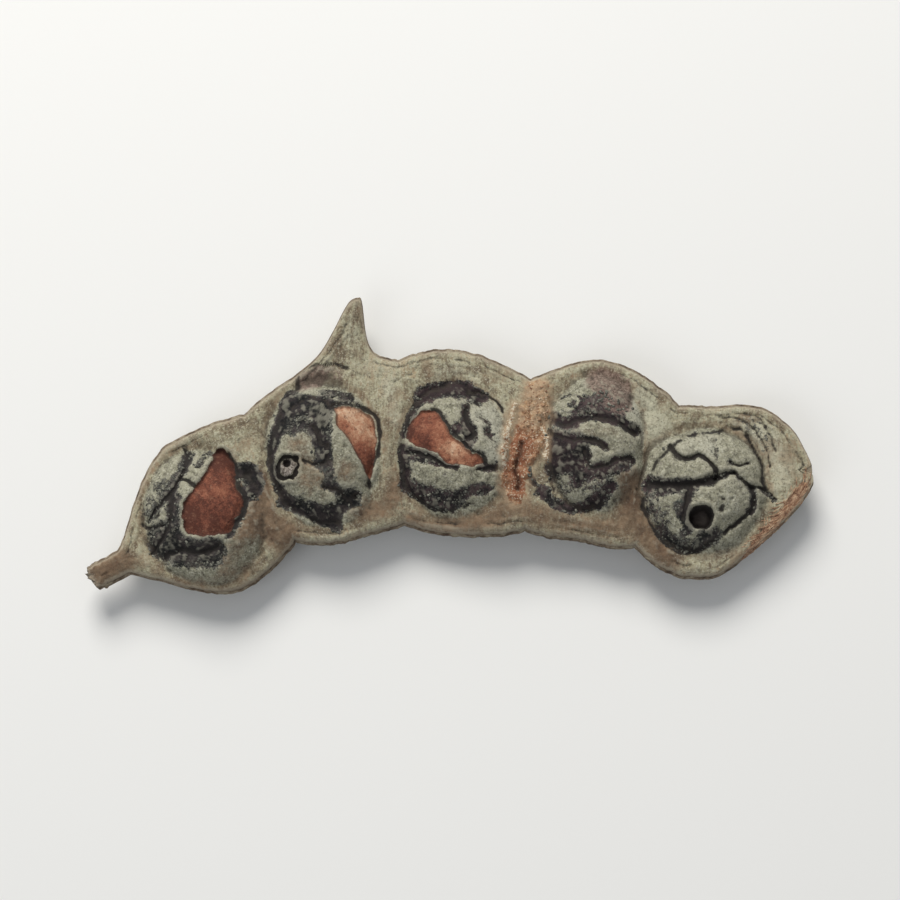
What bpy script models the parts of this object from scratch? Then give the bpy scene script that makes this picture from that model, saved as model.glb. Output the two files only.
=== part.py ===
"""A dried acacia pod with five seed chambers, lying on its flat side with a broad face up.

The pod is one closed skin. Rings of points run round it from the stalk to the tip, and each ring
crosses the upper face, goes round the lower margin, comes back under the pod and closes round the
upper margin. "Upper" and "lower" margins are the far and the near one as the pod is seen from above,
with its stalk at -X and its tip at +X.

Lengths are millimetres until the mesh is made, which turns them into metres.
"""

import math

import bpy
import numpy as np
from mathutils import Vector, noise

METRES_PER_MM = 0.001

# How finely the skin is divided
RINGS_PER_STRETCH = (4, 14, 9, 10, 10, 9, 9, 9, 9, 9, 16)
FACE_STEPS = 27
UNDER_STEPS = 16

# Thickness of the skin's body and how far the seeds push it out
PLATE_HALF = 1.0
MID_THICKENING = 0.45
MID_THICKENING_REACH = 4.5
RIM_HALF = 0.62
RIM_ROUND = 0.8
RIM_LIP = 0.2
SUTURE_GROOVE = 0.16
RIM_PROFILE = ((0.25, RIM_LIP), (0.5, RIM_LIP - SUTURE_GROOVE), (0.75, RIM_LIP))
RIM_WAVE = 0.32
FACE_SWELL = 2.3
UNDER_SWELL = 2.0
SWELL_POWER = 2.7
FOOT_CREASE_DEPTH = 0.38
FOOT_CREASE_WIDTH = 0.11
FLAT_DEPTH = 0.22

# The middle line: where each station lies, and how far the upper and the lower margin stand off it.
# Beads and necks alternate between the stalk and the tip.
STATIONS = (
    ("stalk_end", -37.3, -14.0, 1.05, 1.05),
    ("stalk_joint", -34.3, -12.4, 1.15, 1.15),
    ("bead_1", -25.7, -7.9, 8.6, 7.8),
    ("neck_12", -19.6, -4.4, 7.3, 6.2),
    ("bead_2", -13.4, -1.3, 9.0, 8.9),
    ("neck_23", -6.6, -0.1, 8.2, 8.2),
    ("bead_3", -0.7, 0.0, 9.3, 9.4),
    ("neck_34", 6.6, -1.0, 7.3, 7.9),
    ("bead_4", 13.4, -1.0, 9.2, 9.1),
    ("neck_45", 19.6, -3.5, 7.4, 7.4),
    ("bead_5", 24.9, -5.1, 8.8, 8.8),
    ("tip", 35.5, -3.4, 0.75, 0.75),
)
NECK_SHARPNESS = 0.85
STALK_SHOULDER = 1.1
TIP_BOW = 2.6
TIP_LEVEL_FALL = 0.05
TIP_SLANT = 1.24
TIP_CORNER = 0.1

# Lean of the lines that cross the pod, in degrees from the Y axis towards the tip
UPPER_LEAN = (-28, -28, -27, -20, 4, 0, 0, 3, 8, 19, 10, -4)
LOWER_LEAN = (28, 28, 27, 25, 16, 5, 0, -2, -6, -17, -8, 4)

# The upper margin of bead 2 runs out into a thin pointed wing
WING_AT = 4.22
WING_RISE = 8.0
WING_BLUNT = 0.11
WING_STALK_SIDE = 0.75
WING_TIP_SIDE = 0.62
WING_TAPER = 1.55
WING_CURL = 0.022

# Seed chambers: middle of the swelling, its half-length along X, its half-width along Y, its turn
SWELLINGS = (
    (-26.2, -7.9, 6.0, 7.1, 24.0),
    (-14.1, -1.4, 5.8, 7.6, 10.0),
    (-0.9, -1.1, 5.6, 6.9, 0.0),
    (13.5, -0.3, 5.1, 7.1, 0.0),
    (24.4, -5.0, 6.4, 6.5, 0.0),
)

# How much each station is lifted off the ground: the pod rests on beads 1, 3 and 5
BOW = (0.0, 0.0, 0.0, 0.2, 0.34, 0.2, 0.0, 0.2, 0.34, 0.2, 0.0, 0.5)

# How much of the plate's and of the middle's thickness each station has
PLATE_FULLNESS = (1.0, 1.0, 1.0, 1.0, 1.0, 1.0, 1.0, 1.0, 1.0, 1.0, 1.0, 0.6)
MID_FULLNESS = (0.0, 0.1, 1.0, 1.0, 1.0, 1.0, 1.0, 1.0, 1.0, 1.0, 1.0, 0.0)

# Creases between the puffy lobes of the upper face: half-width, depth, and the points on the way
CREASES = (
    # Bead 1
    (0.55, 0.50, ((-31.4, -7.6), (-29.4, -6.0), (-28.3, -3.8), (-27.8, -1.6))),
    (0.50, 0.45, ((-31.0, -11.2), (-29.6, -9.0), (-29.0, -6.2))),
    (0.50, 0.40, ((-28.5, -4.4), (-26.9, -4.9))),
    (0.55, 0.45, ((-22.9, -2.5), (-21.1, -3.2), (-21.0, -5.2))),
    (0.60, 0.40, ((-28.6, -11.6), (-25.6, -11.6), (-23.4, -11.0))),
    # Bead 2
    (0.50, 0.40, ((-13.2, 3.4), (-14.6, 3.9), (-17.2, 3.2))),
    (0.60, 0.45, ((-15.4, 2.6), (-14.5, 0.2), (-13.7, -2.4), (-15.8, -2.8))),
    (0.65, 0.40, ((-17.8, -6.4), (-14.8, -7.4), (-11.6, -6.4))),
    (0.45, 0.35, ((-9.7, -2.8), (-9.8, -4.8))),
    # Bead 3
    (0.65, 0.45, ((-4.4, 4.2), (-2.0, 5.2), (0.8, 5.0), (3.0, 4.1))),
    (0.60, 0.45, ((0.5, 2.8), (0.2, 0.2))),
    (0.50, 0.40, ((0.3, -1.6), (2.0, -2.3), (2.8, -3.1))),
    (0.50, 0.40, ((-5.3, -2.2), (-3.1, -2.6), (-1.0, -2.9))),
    (0.70, 0.45, ((-5.6, -5.0), (-2.2, -6.1), (0.6, -5.3))),
    # Bead 4
    (0.60, 0.45, ((9.5, 1.7), (12.0, 1.6), (14.5, 1.9), (16.2, 1.1), (17.4, 0.4))),
    (1.00, 0.50, ((10.3, -0.9), (11.3, -2.6))),
    (0.45, 0.35, ((12.2, -0.9), (13.6, -0.7), (14.6, -1.5))),
    (0.60, 0.45, ((12.7, -3.8), (15.0, -3.5), (16.9, -2.5))),
    (0.65, 0.40, ((9.0, -6.0), (11.2, -6.9), (14.0, -6.1))),
    # Bead 5
    (0.60, 0.70, ((19.2, -4.9), (22.0, -5.0), (24.8, -4.5), (27.2, -3.6), (29.0, -4.8), (31.4, -5.8))),
    (0.50, 0.60, ((25.6, -3.8), (24.6, -2.3), (23.2, -2.0), (21.4, -1.2))),
    (0.50, 0.55, ((29.2, -5.2), (29.3, -7.2), (27.6, -8.8))),
    (0.55, 0.45, ((22.8, -5.6), (22.0, -7.4), (20.6, -9.4))),
    # Folds in the margin
    (0.45, 0.30, ((-4.2, 7.9), (-5.4, 7.0), (-6.7, 6.2))),
    (0.45, 0.30, ((30.2, 0.6), (30.9, -1.6), (32.0, -3.2))),
)

# Patches where the skin is gone and the pulp shows, sunk below the face: depth and outline
PULP_PATCHES = (
    (0.50, ((-25.2, -1.0), (-24.3, -0.8), (-23.1, -2.4), (-22.8, -4.8), (-22.0, -6.4), (-23.0, -9.0),
            (-24.2, -9.9), (-27.6, -9.9), (-28.1, -7.4), (-26.6, -4.6), (-25.5, -2.6))),
    (0.60, ((-13.0, 3.0), (-11.6, 3.5), (-9.6, 2.8), (-8.8, 1.2), (-9.0, -1.6), (-9.7, -2.8),
            (-10.9, -2.0), (-11.1, -0.8), (-12.6, 0.9))),
    (0.60, ((-4.9, 1.8), (-3.6, 3.0), (-2.5, 2.5), (-1.4, 0.6), (0.0, -0.7), (1.9, -2.2), (0.9, -2.9),
            (-1.6, -2.3), (-4.0, -1.2), (-5.5, 0.4))),
)
PULP_EDGE = 0.55

# The hollow between the wing and the second swelling: depth and outline
WING_HOLLOW = (0.60, ((-17.0, 5.4), (-16.6, 7.4), (-15.2, 8.0), (-13.4, 7.4), (-13.8, 5.8)))
WING_HOLLOW_EDGE = 1.2

# Insect holes: middle, radius, depth
EXIT_HOLES = (
    (-17.7, -3.1, 1.30, 1.0),
    (24.0, -8.1, 1.40, 1.6),
)
HOLE_LIP = 0.22

# The crust of dried gum between beads 3 and 4, with a slit down its near end
GUM_CRUST = (1.35, 0.32, ((7.8, 5.2), (7.4, 2.6), (6.8, 0.2), (5.6, -2.4), (5.4, -5.2)))
GUM_SLIT = (0.45, 0.50, ((5.9, -0.8), (5.4, -3.0), (5.7, -4.8)))

# Cracks between the puffy cells of the underside, which carries no marks of its own. They stop
# short of the flat spots that the pod rests on.
UNDER_CRACK_DEPTH = 0.3
UNDER_CRACK_WIDTH = 0.2
UNDER_CELL = 4.6
UNDER_SLICE = 31.0
UNDER_PLAIN_TO = 0.42
UNDER_CRACKED_FROM = 0.62

POD_COLOUR = (0.25, 0.225, 0.165, 1.0)
POD_ROUGHNESS = 0.88


def curve_through(values, place):
    """The value at a place along evenly spaced values, on a smooth curve through them all."""
    last = len(values) - 1
    start = min(int(place), last - 1)
    part = place - start
    before = values[max(start - 1, 0)]
    after = values[min(start + 2, last)]
    here, there = values[start], values[start + 1]
    bend = 2.0 * before - 5.0 * here + 4.0 * there - after
    turn = 3.0 * (here - there) + after - before
    return here + 0.5 * part * ((there - before) + part * (bend + part * turn))


def station_values(column):
    return [station[column] for station in STATIONS]


def is_bead(station):
    return STATIONS[station][0].startswith("bead")


def margin_offset(place, column):
    """How far a margin stands off the middle line. Beads are broad-topped and necks are sharp."""
    last = len(STATIONS) - 1
    start = min(int(place), last - 1)
    part = place - start
    here = STATIONS[start][column]
    there = STATIONS[start + 1][column]
    if start == 0:
        return here + (there - here) * part
    if start == last - 1:
        return tip_offset(part, here, there, column)
    towards_bead = part if is_bead(start + 1) else 1.0 - part
    neck, bead = (here, there) if is_bead(start + 1) else (there, here)
    sharpness = STALK_SHOULDER if start == 1 else NECK_SHARPNESS
    return neck + (bead - neck) * math.sin(0.5 * math.pi * towards_bead) ** sharpness


def tip_offset(part, bead, tip, column):
    """The last bead narrows to the tip: in a bow above, and along a straight slant below."""
    if column == 3:
        return tip + (bead - tip) * (1.0 - part ** TIP_BOW)
    level = 1.0 - TIP_LEVEL_FALL * part
    slant = TIP_SLANT * (1.0 - part)
    overlap = max(TIP_CORNER - abs(level - slant), 0.0)
    softened = min(level, slant) - 0.25 * overlap ** 2 / TIP_CORNER
    return tip + (bead - tip) * softened


def wing_offset(place):
    """The pointed flare that the wing adds to the upper margin."""
    away = place - WING_AT
    side = WING_TIP_SIDE if away > 0.0 else WING_STALK_SIDE
    return WING_RISE * max(0.0, 1.0 - math.hypot(away / side, WING_BLUNT)) ** WING_TAPER


def ring_places():
    """The places of the rings: 0 at the stalk's end and one more at each station."""
    places = []
    for stretch, count in enumerate(RINGS_PER_STRETCH):
        places.extend(stretch + step / count for step in range(count))
    return places + [float(len(RINGS_PER_STRETCH))]


def ring_frame(place):
    """The middle of a ring, and its two margins."""
    middle = np.array([curve_through(station_values(1), place), curve_through(station_values(2), place)])
    upper_lean = math.radians(curve_through(UPPER_LEAN, place))
    lower_lean = math.radians(curve_through(LOWER_LEAN, place))
    upper_reach = margin_offset(place, 3) + wing_offset(place)
    lower_reach = margin_offset(place, 4)
    upper = middle + upper_reach * np.array([math.sin(upper_lean), math.cos(upper_lean)])
    lower = middle + lower_reach * np.array([math.sin(lower_lean), -math.cos(lower_lean)])
    return middle, upper, lower


def across(frame, steps):
    """Points from the upper margin over the middle line to the lower margin."""
    middle, upper, lower = frame
    reach = np.linalg.norm(upper - middle) / (
        np.linalg.norm(upper - middle) + np.linalg.norm(lower - middle)
    )
    points = []
    for step in range(steps + 1):
        part = step / steps
        if part < reach:
            points.append(upper + (middle - upper) * (part / reach))
        else:
            points.append(middle + (lower - middle) * ((part - reach) / (1.0 - reach)))
    return np.array(points)


def distance_to_line(points, line, closed=False):
    """How far each point lies from a line of straight pieces."""
    corners = np.array(line, float)
    ends = np.roll(corners, -1, axis=0) if closed else corners[1:]
    starts = corners if closed else corners[:-1]
    nearest = np.full(len(points), np.inf)
    for start, end in zip(starts, ends):
        run = end - start
        along = ((points - start) @ run) / max(run @ run, 1e-12)
        foot = start + np.clip(along, 0.0, 1.0)[:, None] * run
        nearest = np.minimum(nearest, np.linalg.norm(points - foot, axis=1))
    return nearest


def depth_inside(points, outline):
    """Distance to an outline, positive inside it and negative outside."""
    corners = np.array(outline, float)
    inside = np.zeros(len(points), bool)
    for (x0, y0), (x1, y1) in zip(corners, np.roll(corners, -1, axis=0)):
        crosses = (y0 > points[:, 1]) != (y1 > points[:, 1])
        with np.errstate(divide="ignore", invalid="ignore"):
            at = x0 + (points[:, 1] - y0) * (x1 - x0) / (y1 - y0)
        inside ^= crosses & (points[:, 0] < at)
    return np.where(inside, 1.0, -1.0) * distance_to_line(points, outline, closed=True)


def smooth_step(values, low, high):
    part = np.clip((values - low) / (high - low), 0.0, 1.0)
    return part * part * (3.0 - 2.0 * part)


def groove(points, half_width, depth, line):
    return depth * np.exp(-((distance_to_line(points, line) / half_width) ** 2))


def swelling_radius(points, swelling):
    """0 in the middle of a seed chamber and 1 at its foot."""
    x, y, half_length, half_width, turn = swelling
    angle = math.radians(turn)
    dx, dy = points[:, 0] - x, points[:, 1] - y
    along = dx * math.cos(angle) + dy * math.sin(angle)
    beside = dy * math.cos(angle) - dx * math.sin(angle)
    return np.hypot(along / half_length, beside / half_width)


def swelling_height(points, rise):
    """The seeds' swellings, steep at the foot, with a crease round each."""
    height = np.zeros(len(points))
    for swelling in SWELLINGS:
        radius = swelling_radius(points, swelling)
        dome = 1.0 - np.minimum(radius, 1.0) ** SWELL_POWER
        crease = np.exp(-(((radius - 1.03) / FOOT_CREASE_WIDTH) ** 2))
        height += rise * dome - FOOT_CREASE_DEPTH * crease
    return height


def face_marks(points):
    """Everything that is cut into the upper face or stands on it."""
    height = np.zeros(len(points))
    for half_width, depth, line in CREASES:
        height -= groove(points, half_width, depth, line)
    for depth, outline in PULP_PATCHES:
        height -= depth * smooth_step(depth_inside(points, outline), -0.1, PULP_EDGE)
    depth, outline = WING_HOLLOW
    height -= depth * smooth_step(depth_inside(points, outline), -0.3, WING_HOLLOW_EDGE)
    half_width, rise, line = GUM_CRUST
    height += rise * np.exp(-((distance_to_line(points, line) / half_width) ** 4))
    height -= groove(points, *GUM_SLIT)
    for x, y, radius, depth in EXIT_HOLES:
        away = np.hypot(points[:, 0] - x, points[:, 1] - y) / radius
        height += HOLE_LIP * np.exp(-(((away - 1.25) / 0.25) ** 2))
        height -= depth * (1.0 - smooth_step(away, 0.45, 1.1))
    return height


def under_marks(points):
    """Cracks between the puffy cells of the dried skin under the pod."""
    cracks = []
    for x, y in points:
        nearest, _ = noise.voronoi(Vector((x / UNDER_CELL, y / UNDER_CELL, UNDER_SLICE)))
        cracks.append(math.exp(-(((nearest[1] - nearest[0]) / UNDER_CRACK_WIDTH) ** 2)))
    radius = np.min([swelling_radius(points, swelling) for swelling in SWELLINGS], axis=0)
    return -UNDER_CRACK_DEPTH * np.array(cracks) * smooth_step(radius, UNDER_PLAIN_TO, UNDER_CRACKED_FROM)


class Plan:
    """The pod seen from above: its rings, its middle line and its outline."""

    def __init__(self):
        self.places = ring_places()
        self.frames = [ring_frame(place) for place in self.places]
        self.middle_line = [frame[0] for frame in self.frames]
        upper_margin = [frame[1] for frame in self.frames]
        lower_margin = [frame[2] for frame in self.frames]
        self.outline = upper_margin + lower_margin[::-1]


def plate_half_thickness(plan, points, places, margin_distance):
    """Half the thickness of the pod between its seeds: thin at the margin, thicker in the middle."""
    stations = range(len(STATIONS))
    plate = PLATE_HALF * np.interp(places, stations, PLATE_FULLNESS)
    from_middle = distance_to_line(points, plan.middle_line) / MID_THICKENING_REACH
    middle = MID_THICKENING * np.interp(places, stations, MID_FULLNESS) * np.exp(-(from_middle ** 2))
    rounded = np.sqrt(1.0 - (1.0 - np.clip(margin_distance / RIM_ROUND, 0.0, 1.0)) ** 2)
    return RIM_HALF + (plate - RIM_HALF + middle) * rounded


def sheet_height(plan, points, places, margin_distance):
    """How high the pod's middle sheet lies: bowed, waved along its margins, curled at the wing."""
    bow = np.array([curve_through(BOW, place) for place in places])
    from_middle = distance_to_line(points, plan.middle_line)
    wave = RIM_WAVE * np.sin(2.3 * places + 1.1 * np.sign(points[:, 1] + 4.0))
    wave *= smooth_step(from_middle, 4.0, 9.0)
    curl = WING_CURL * np.clip(from_middle - 9.0, 0.0, None) ** 2
    resting = UNDER_SWELL + PLATE_HALF + MID_THICKENING - FLAT_DEPTH
    return resting + bow + wave + curl


def face_points(plan, steps, side):
    """The points of the upper face (side 1) or the underside (side -1), ring by ring."""
    points = np.concatenate([across(frame, steps) for frame in plan.frames])
    places = np.repeat(plan.places, steps + 1)
    margin_distance = distance_to_line(points, plan.outline, closed=True)
    if side > 0:
        relief = swelling_height(points, FACE_SWELL) + face_marks(points)
    else:
        relief = swelling_height(points, UNDER_SWELL) + under_marks(points)
    half = plate_half_thickness(plan, points, places, margin_distance)
    half += smooth_step(margin_distance, 0.3, 1.6) * relief
    height = sheet_height(plan, points, places, margin_distance) + side * half
    height = np.maximum(height, 0.0)
    return np.column_stack([points, height]).reshape(len(plan.places), steps + 1, 3)


def rim_points(one_edge, other_edge, outward):
    """The two lips of a margin, with the suture's groove between them."""
    points = []
    for part, stand_out in RIM_PROFILE:
        point = one_edge + (other_edge - one_edge) * part
        point[:2] += outward * stand_out
        points.append(point)
    return points


def pod_rings():
    """All the rings of the pod, each a list of points in order round it."""
    plan = Plan()
    above = face_points(plan, FACE_STEPS, 1)
    below = face_points(plan, UNDER_STEPS, -1)
    rings = []
    for (middle, upper, lower), top, under in zip(plan.frames, above, below):
        away_upper = (upper - middle) / np.linalg.norm(upper - middle)
        away_lower = (lower - middle) / np.linalg.norm(lower - middle)
        ring = list(top)
        ring += rim_points(top[-1], under[-1], away_lower)
        ring += list(under[::-1])
        ring += rim_points(under[0], top[0], away_upper)
        rings.append(ring)
    return rings


def close_end(vertices, faces, first, count, outwards):
    """Fans an end ring to a point in its middle."""
    middle = np.mean(vertices[first:first + count], axis=0)
    vertices.append(middle)
    tip = len(vertices) - 1
    for step in range(count):
        one, two = first + step, first + (step + 1) % count
        faces.append((two, one, tip) if outwards else (one, two, tip))


def make_pod():
    rings = pod_rings()
    count = len(rings[0])
    vertices = [point for ring in rings for point in ring]
    faces = []
    for ring in range(len(rings) - 1):
        for step in range(count):
            here = ring * count + step
            beside = ring * count + (step + 1) % count
            faces.append((here, beside, beside + count, here + count))
    close_end(vertices, faces, 0, count, outwards=True)
    close_end(vertices, faces, (len(rings) - 1) * count, count, outwards=False)

    points = np.array(vertices)
    middle = 0.5 * (points[:, :2].min(axis=0) + points[:, :2].max(axis=0))
    points[:, :2] -= middle
    mesh = bpy.data.meshes.new("pod")
    mesh.from_pydata((points * METRES_PER_MM).tolist(), [], faces)
    mesh.validate()
    mesh.shade_smooth()
    pod = bpy.data.objects.new("pod", mesh)
    bpy.context.scene.collection.objects.link(pod)
    return pod


def felted_skin():
    """The grey-green felted skin of the dried pod."""
    material = bpy.data.materials.new("pod_skin")
    material.use_nodes = True
    shader = material.node_tree.nodes["Principled BSDF"]
    shader.inputs["Base Color"].default_value = POD_COLOUR
    shader.inputs["Roughness"].default_value = POD_ROUGHNESS
    shader.inputs["Metallic"].default_value = 0.0
    return material


for old in list(bpy.data.objects):
    bpy.data.objects.remove(old)

pod = make_pod()
pod.data.materials.append(felted_skin())
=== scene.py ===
"""The looks of a dried acacia pod: felted skin, dark seed chambers, pulp, gum and torn fibres."""

import math

import bpy
import numpy as np
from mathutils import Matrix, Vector, noise


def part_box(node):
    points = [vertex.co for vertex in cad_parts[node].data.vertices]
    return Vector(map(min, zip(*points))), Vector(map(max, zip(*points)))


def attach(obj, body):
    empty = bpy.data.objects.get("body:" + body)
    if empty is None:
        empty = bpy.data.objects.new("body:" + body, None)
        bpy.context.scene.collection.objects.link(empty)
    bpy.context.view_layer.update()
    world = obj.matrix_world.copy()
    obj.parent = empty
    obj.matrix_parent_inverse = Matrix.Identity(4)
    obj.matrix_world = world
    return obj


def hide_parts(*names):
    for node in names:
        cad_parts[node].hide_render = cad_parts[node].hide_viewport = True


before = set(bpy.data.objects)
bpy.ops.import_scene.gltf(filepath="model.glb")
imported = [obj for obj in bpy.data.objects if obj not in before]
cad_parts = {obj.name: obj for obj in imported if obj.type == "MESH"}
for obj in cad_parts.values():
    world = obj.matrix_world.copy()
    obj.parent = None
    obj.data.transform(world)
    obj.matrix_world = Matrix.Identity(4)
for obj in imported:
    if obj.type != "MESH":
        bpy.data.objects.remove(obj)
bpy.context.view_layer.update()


# Camera. The pod in the photograph stands with its broad face to the lens. Here it lies down, so
# the camera looks almost straight down on that face, with the pod across most of the picture.
CAMERA_ELEVATION = math.radians(80.0)
CAMERA_DISTANCE = 0.30
CAMERA_LENS = 118.0
CAMERA_AIM = Vector((0.0, -0.0005, 0.0035))

camera_data = bpy.data.cameras.new("camera")
camera_data.lens = CAMERA_LENS
camera_data.clip_start = 0.01
camera = bpy.data.objects.new("camera", camera_data)
toward_camera = Vector((0.0, -math.cos(CAMERA_ELEVATION), math.sin(CAMERA_ELEVATION)))
camera.location = CAMERA_AIM + toward_camera * CAMERA_DISTANCE
camera.rotation_euler = (-toward_camera).to_track_quat("-Z", "Y").to_euler()
bpy.context.scene.collection.objects.link(camera)
bpy.context.scene.camera = camera


# Studio. A pale floor, a wide soft light from beyond the pod's far margin, as the daylight falls
# in the photograph, a weak fill from the near left, and an even pale sky.
FLOOR_SIZE = 4.0
FLOOR_ROUGHNESS = 0.8
FLOOR_COLOUR = (0.80, 0.80, 0.785, 1.0)
SKY_COLOUR = (0.93, 0.96, 1.0, 1.0)
SKY_STRENGTH = 0.30
KEY_PLACE = Vector((-0.10, 0.42, 0.40))
KEY_SIZE = 0.34
KEY_POWER = 3.7
KEY_COLOUR = (1.0, 0.975, 0.93)
FILL_PLACE = Vector((-0.35, -0.35, 0.45))
FILL_SIZE = 0.5
FILL_POWER = 0.8


def soft_light(name, place, size, power, colour):
    data = bpy.data.lights.new(name, "AREA")
    data.shape = "DISK"
    data.size = size
    data.energy = power
    data.color = colour
    light = bpy.data.objects.new(name, data)
    light.location = place
    light.rotation_euler = (-place).to_track_quat("-Z", "Y").to_euler()
    bpy.context.scene.collection.objects.link(light)


soft_light("key_light", KEY_PLACE, KEY_SIZE, KEY_POWER, KEY_COLOUR)
soft_light("fill_light", FILL_PLACE, FILL_SIZE, FILL_POWER, SKY_COLOUR[:3])

sky = bpy.data.worlds.new("sky")
sky.use_nodes = True
sky.node_tree.nodes["Background"].inputs["Color"].default_value = SKY_COLOUR
sky.node_tree.nodes["Background"].inputs["Strength"].default_value = SKY_STRENGTH
bpy.context.scene.world = sky
bpy.context.scene.view_settings.view_transform = "Standard"

half_floor = 0.5 * FLOOR_SIZE
floor_corners = ((-half_floor, -half_floor), (half_floor, -half_floor), (half_floor, half_floor),
                 (-half_floor, half_floor))
floor_mesh = bpy.data.meshes.new("floor")
floor_mesh.from_pydata([(x, y, 0.0) for x, y in floor_corners], [], [(0, 1, 2, 3)])
floor = bpy.data.objects.new("floor", floor_mesh)
bpy.context.scene.collection.objects.link(floor)
floor_material = bpy.data.materials.new("floor_paper")
floor_material.use_nodes = True
floor_shader = floor_material.node_tree.nodes["Principled BSDF"]
floor_shader.inputs["Base Color"].default_value = FLOOR_COLOUR
floor_shader.inputs["Roughness"].default_value = FLOOR_ROUGHNESS
floor_mesh.materials.append(floor_material)


# Form of the pod. The pod is one flat, beaded body that grew in one piece: five seed chambers, a
# stalk stub at one end, a pointed tip at the other, and a suture round the edge. This section
# repeats the construction's measures, in millimetres, and lays out a fine grid of points over it.
METRES_PER_MM = 0.001
RINGS_PER_STRETCH = (14, 50, 36, 44, 48, 36, 36, 36, 36, 36, 62)
FACE_STEPS = 106
UNDER_STEPS = 60
RIM_STEPS = 10

PLATE_HALF = 1.0
MID_THICKENING = 0.45
MID_THICKENING_REACH = 4.5
RIM_HALF = 0.40
RIM_ROUND = 1.5
RIM_LIP = 0.32
SUTURE_GROOVE = 0.16
RIM_WAVE = 0.32
RIM_WAVE_RATE = 2.3
RIM_WAVE_SHIFT = 1.1
RIM_WAVE_FROM = 4.0
RIM_WAVE_FULL = 9.0
FACE_SWELL = 2.3
UNDER_SWELL = 2.0
SWELL_POWER = 2.7
FOOT_CREASE_DEPTH = 0.304
FOOT_CREASE_WIDTH = 0.11
FLAT_DEPTH = 0.22

# Stations along the middle line: x, y, and how far the upper and the lower margin stand off it
STATIONS = np.array((
    (-37.3, -14.0, 1.05, 1.05),
    (-34.3, -12.4, 1.15, 1.15),
    (-25.7, -7.9, 8.6, 7.8),
    (-19.6, -4.4, 7.3, 6.2),
    (-13.4, -1.3, 9.0, 8.9),
    (-6.6, -0.1, 8.2, 8.2),
    (-0.7, 0.0, 9.3, 9.4),
    (6.6, -1.0, 7.3, 7.9),
    (13.4, -1.0, 9.2, 9.1),
    (19.6, -3.5, 7.4, 7.4),
    (24.9, -5.1, 8.8, 8.8),
    (35.5, -3.4, 0.75, 0.75),
))
BEADS = (2, 4, 6, 8, 10)
LAST = len(STATIONS) - 1
NECK_SHARPNESS = 0.85
STALK_SHOULDER = 1.5
TIP_BOW = 2.6
TIP_LEVEL_FALL = 0.05
TIP_SLANT = 1.24
TIP_CORNER = 0.1
UPPER_LEAN = np.radians((-28, -28, -27, -20, 4, 0, 0, 3, 8, 19, 10, -4))
LOWER_LEAN = np.radians((28, 28, 27, 25, 16, 5, 0, -2, -6, -17, -8, 4))
WING_AT = 4.22
WING_RISE = 6.65
WING_STALK_SIDE = 0.32
WING_TIP_SIDE = 0.15
WING_STALK_FLARE = 3.4
WING_TIP_FLARE = 2.4
WING_CURL = 0.022
WING_CURL_FROM = 9.0
NICK_DEPTH = 0.12
NICK_RATE = 7.0
LOWER_NICK_SHIFT = 37
BOW = (0.0, 0.0, 0.0, 0.2, 0.34, 0.2, 0.0, 0.2, 0.34, 0.2, 0.0, 0.5)
PLATE_FULLNESS = (1.0, 1.0, 1.0, 1.0, 1.0, 1.0, 1.0, 1.0, 1.0, 1.0, 1.0, 0.6)
MID_FULLNESS = (0.0, 0.1, 1.0, 1.0, 1.0, 1.0, 1.0, 1.0, 1.0, 1.0, 1.0, 0.0)

# Seed chambers: middle, half-length along X, half-width along Y, turn in degrees
SWELLINGS = (
    (-26.2, -7.9, 6.0, 7.1, 24.0),
    (-14.1, -1.4, 5.8, 7.6, 10.0),
    (-0.9, -1.1, 5.6, 6.9, 0.0),
    (13.5, -0.3, 5.1, 7.1, 0.0),
    (24.4, -5.0, 6.4, 6.5, 0.0),
)


def curve_through(values, places):
    """Values at places along evenly spaced values, on a smooth curve through them all."""
    padded = np.concatenate([values[:1], values, values[-1:]])
    start = np.minimum(places.astype(int), len(values) - 2)
    part = places - start
    before, here, there, after = (padded[start + step] for step in range(4))
    bend = 2.0 * before - 5.0 * here + 4.0 * there - after
    turn = 3.0 * (here - there) + after - before
    return here + 0.5 * part * ((there - before) + part * (bend + part * turn))


def smooth_step(values, low, high):
    part = np.clip((values - low) / (high - low), 0.0, 1.0)
    return part * part * (3.0 - 2.0 * part)


def margin_offsets(places, column):
    """How far a margin stands off the middle line: broad-topped beads, sharp necks, a slanted tip."""
    offsets = []
    for place in places:
        start = min(int(place), LAST - 1)
        part = place - start
        here, there = STATIONS[start][column], STATIONS[start + 1][column]
        if start == 0:
            offsets.append(here + (there - here) * part)
        elif start < LAST - 1:
            rising = start + 1 in BEADS
            towards_bead = part if rising else 1.0 - part
            neck, bead = (here, there) if rising else (there, here)
            sharpness = STALK_SHOULDER if start == 1 else NECK_SHARPNESS
            offsets.append(neck + (bead - neck) * math.sin(0.5 * math.pi * towards_bead) ** sharpness)
        elif column == 2:
            offsets.append(there + (here - there) * (1.0 - part ** TIP_BOW))
        else:
            level = 1.0 - TIP_LEVEL_FALL * part
            slant = TIP_SLANT * (1.0 - part)
            overlap = max(TIP_CORNER - abs(level - slant), 0.0)
            narrowing = min(level, slant) - 0.25 * overlap ** 2 / TIP_CORNER
            offsets.append(there + (here - there) * narrowing)
    return np.array(offsets)


def distance_to_line(points, line, closed=False):
    """How far each point lies from a line of straight pieces."""
    corners = np.array(line, float)
    ends = np.roll(corners, -1, axis=0) if closed else corners[1:]
    starts = corners if closed else corners[:-1]
    nearest = np.full(len(points), np.inf)
    for start, end in zip(starts, ends):
        run = end - start
        off = points - start
        along = np.clip((off @ run) / max(run @ run, 1e-12), 0.0, 1.0)
        nearest = np.minimum(nearest, ((off - along[:, None] * run) ** 2).sum(axis=1))
    return np.sqrt(nearest)


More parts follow.
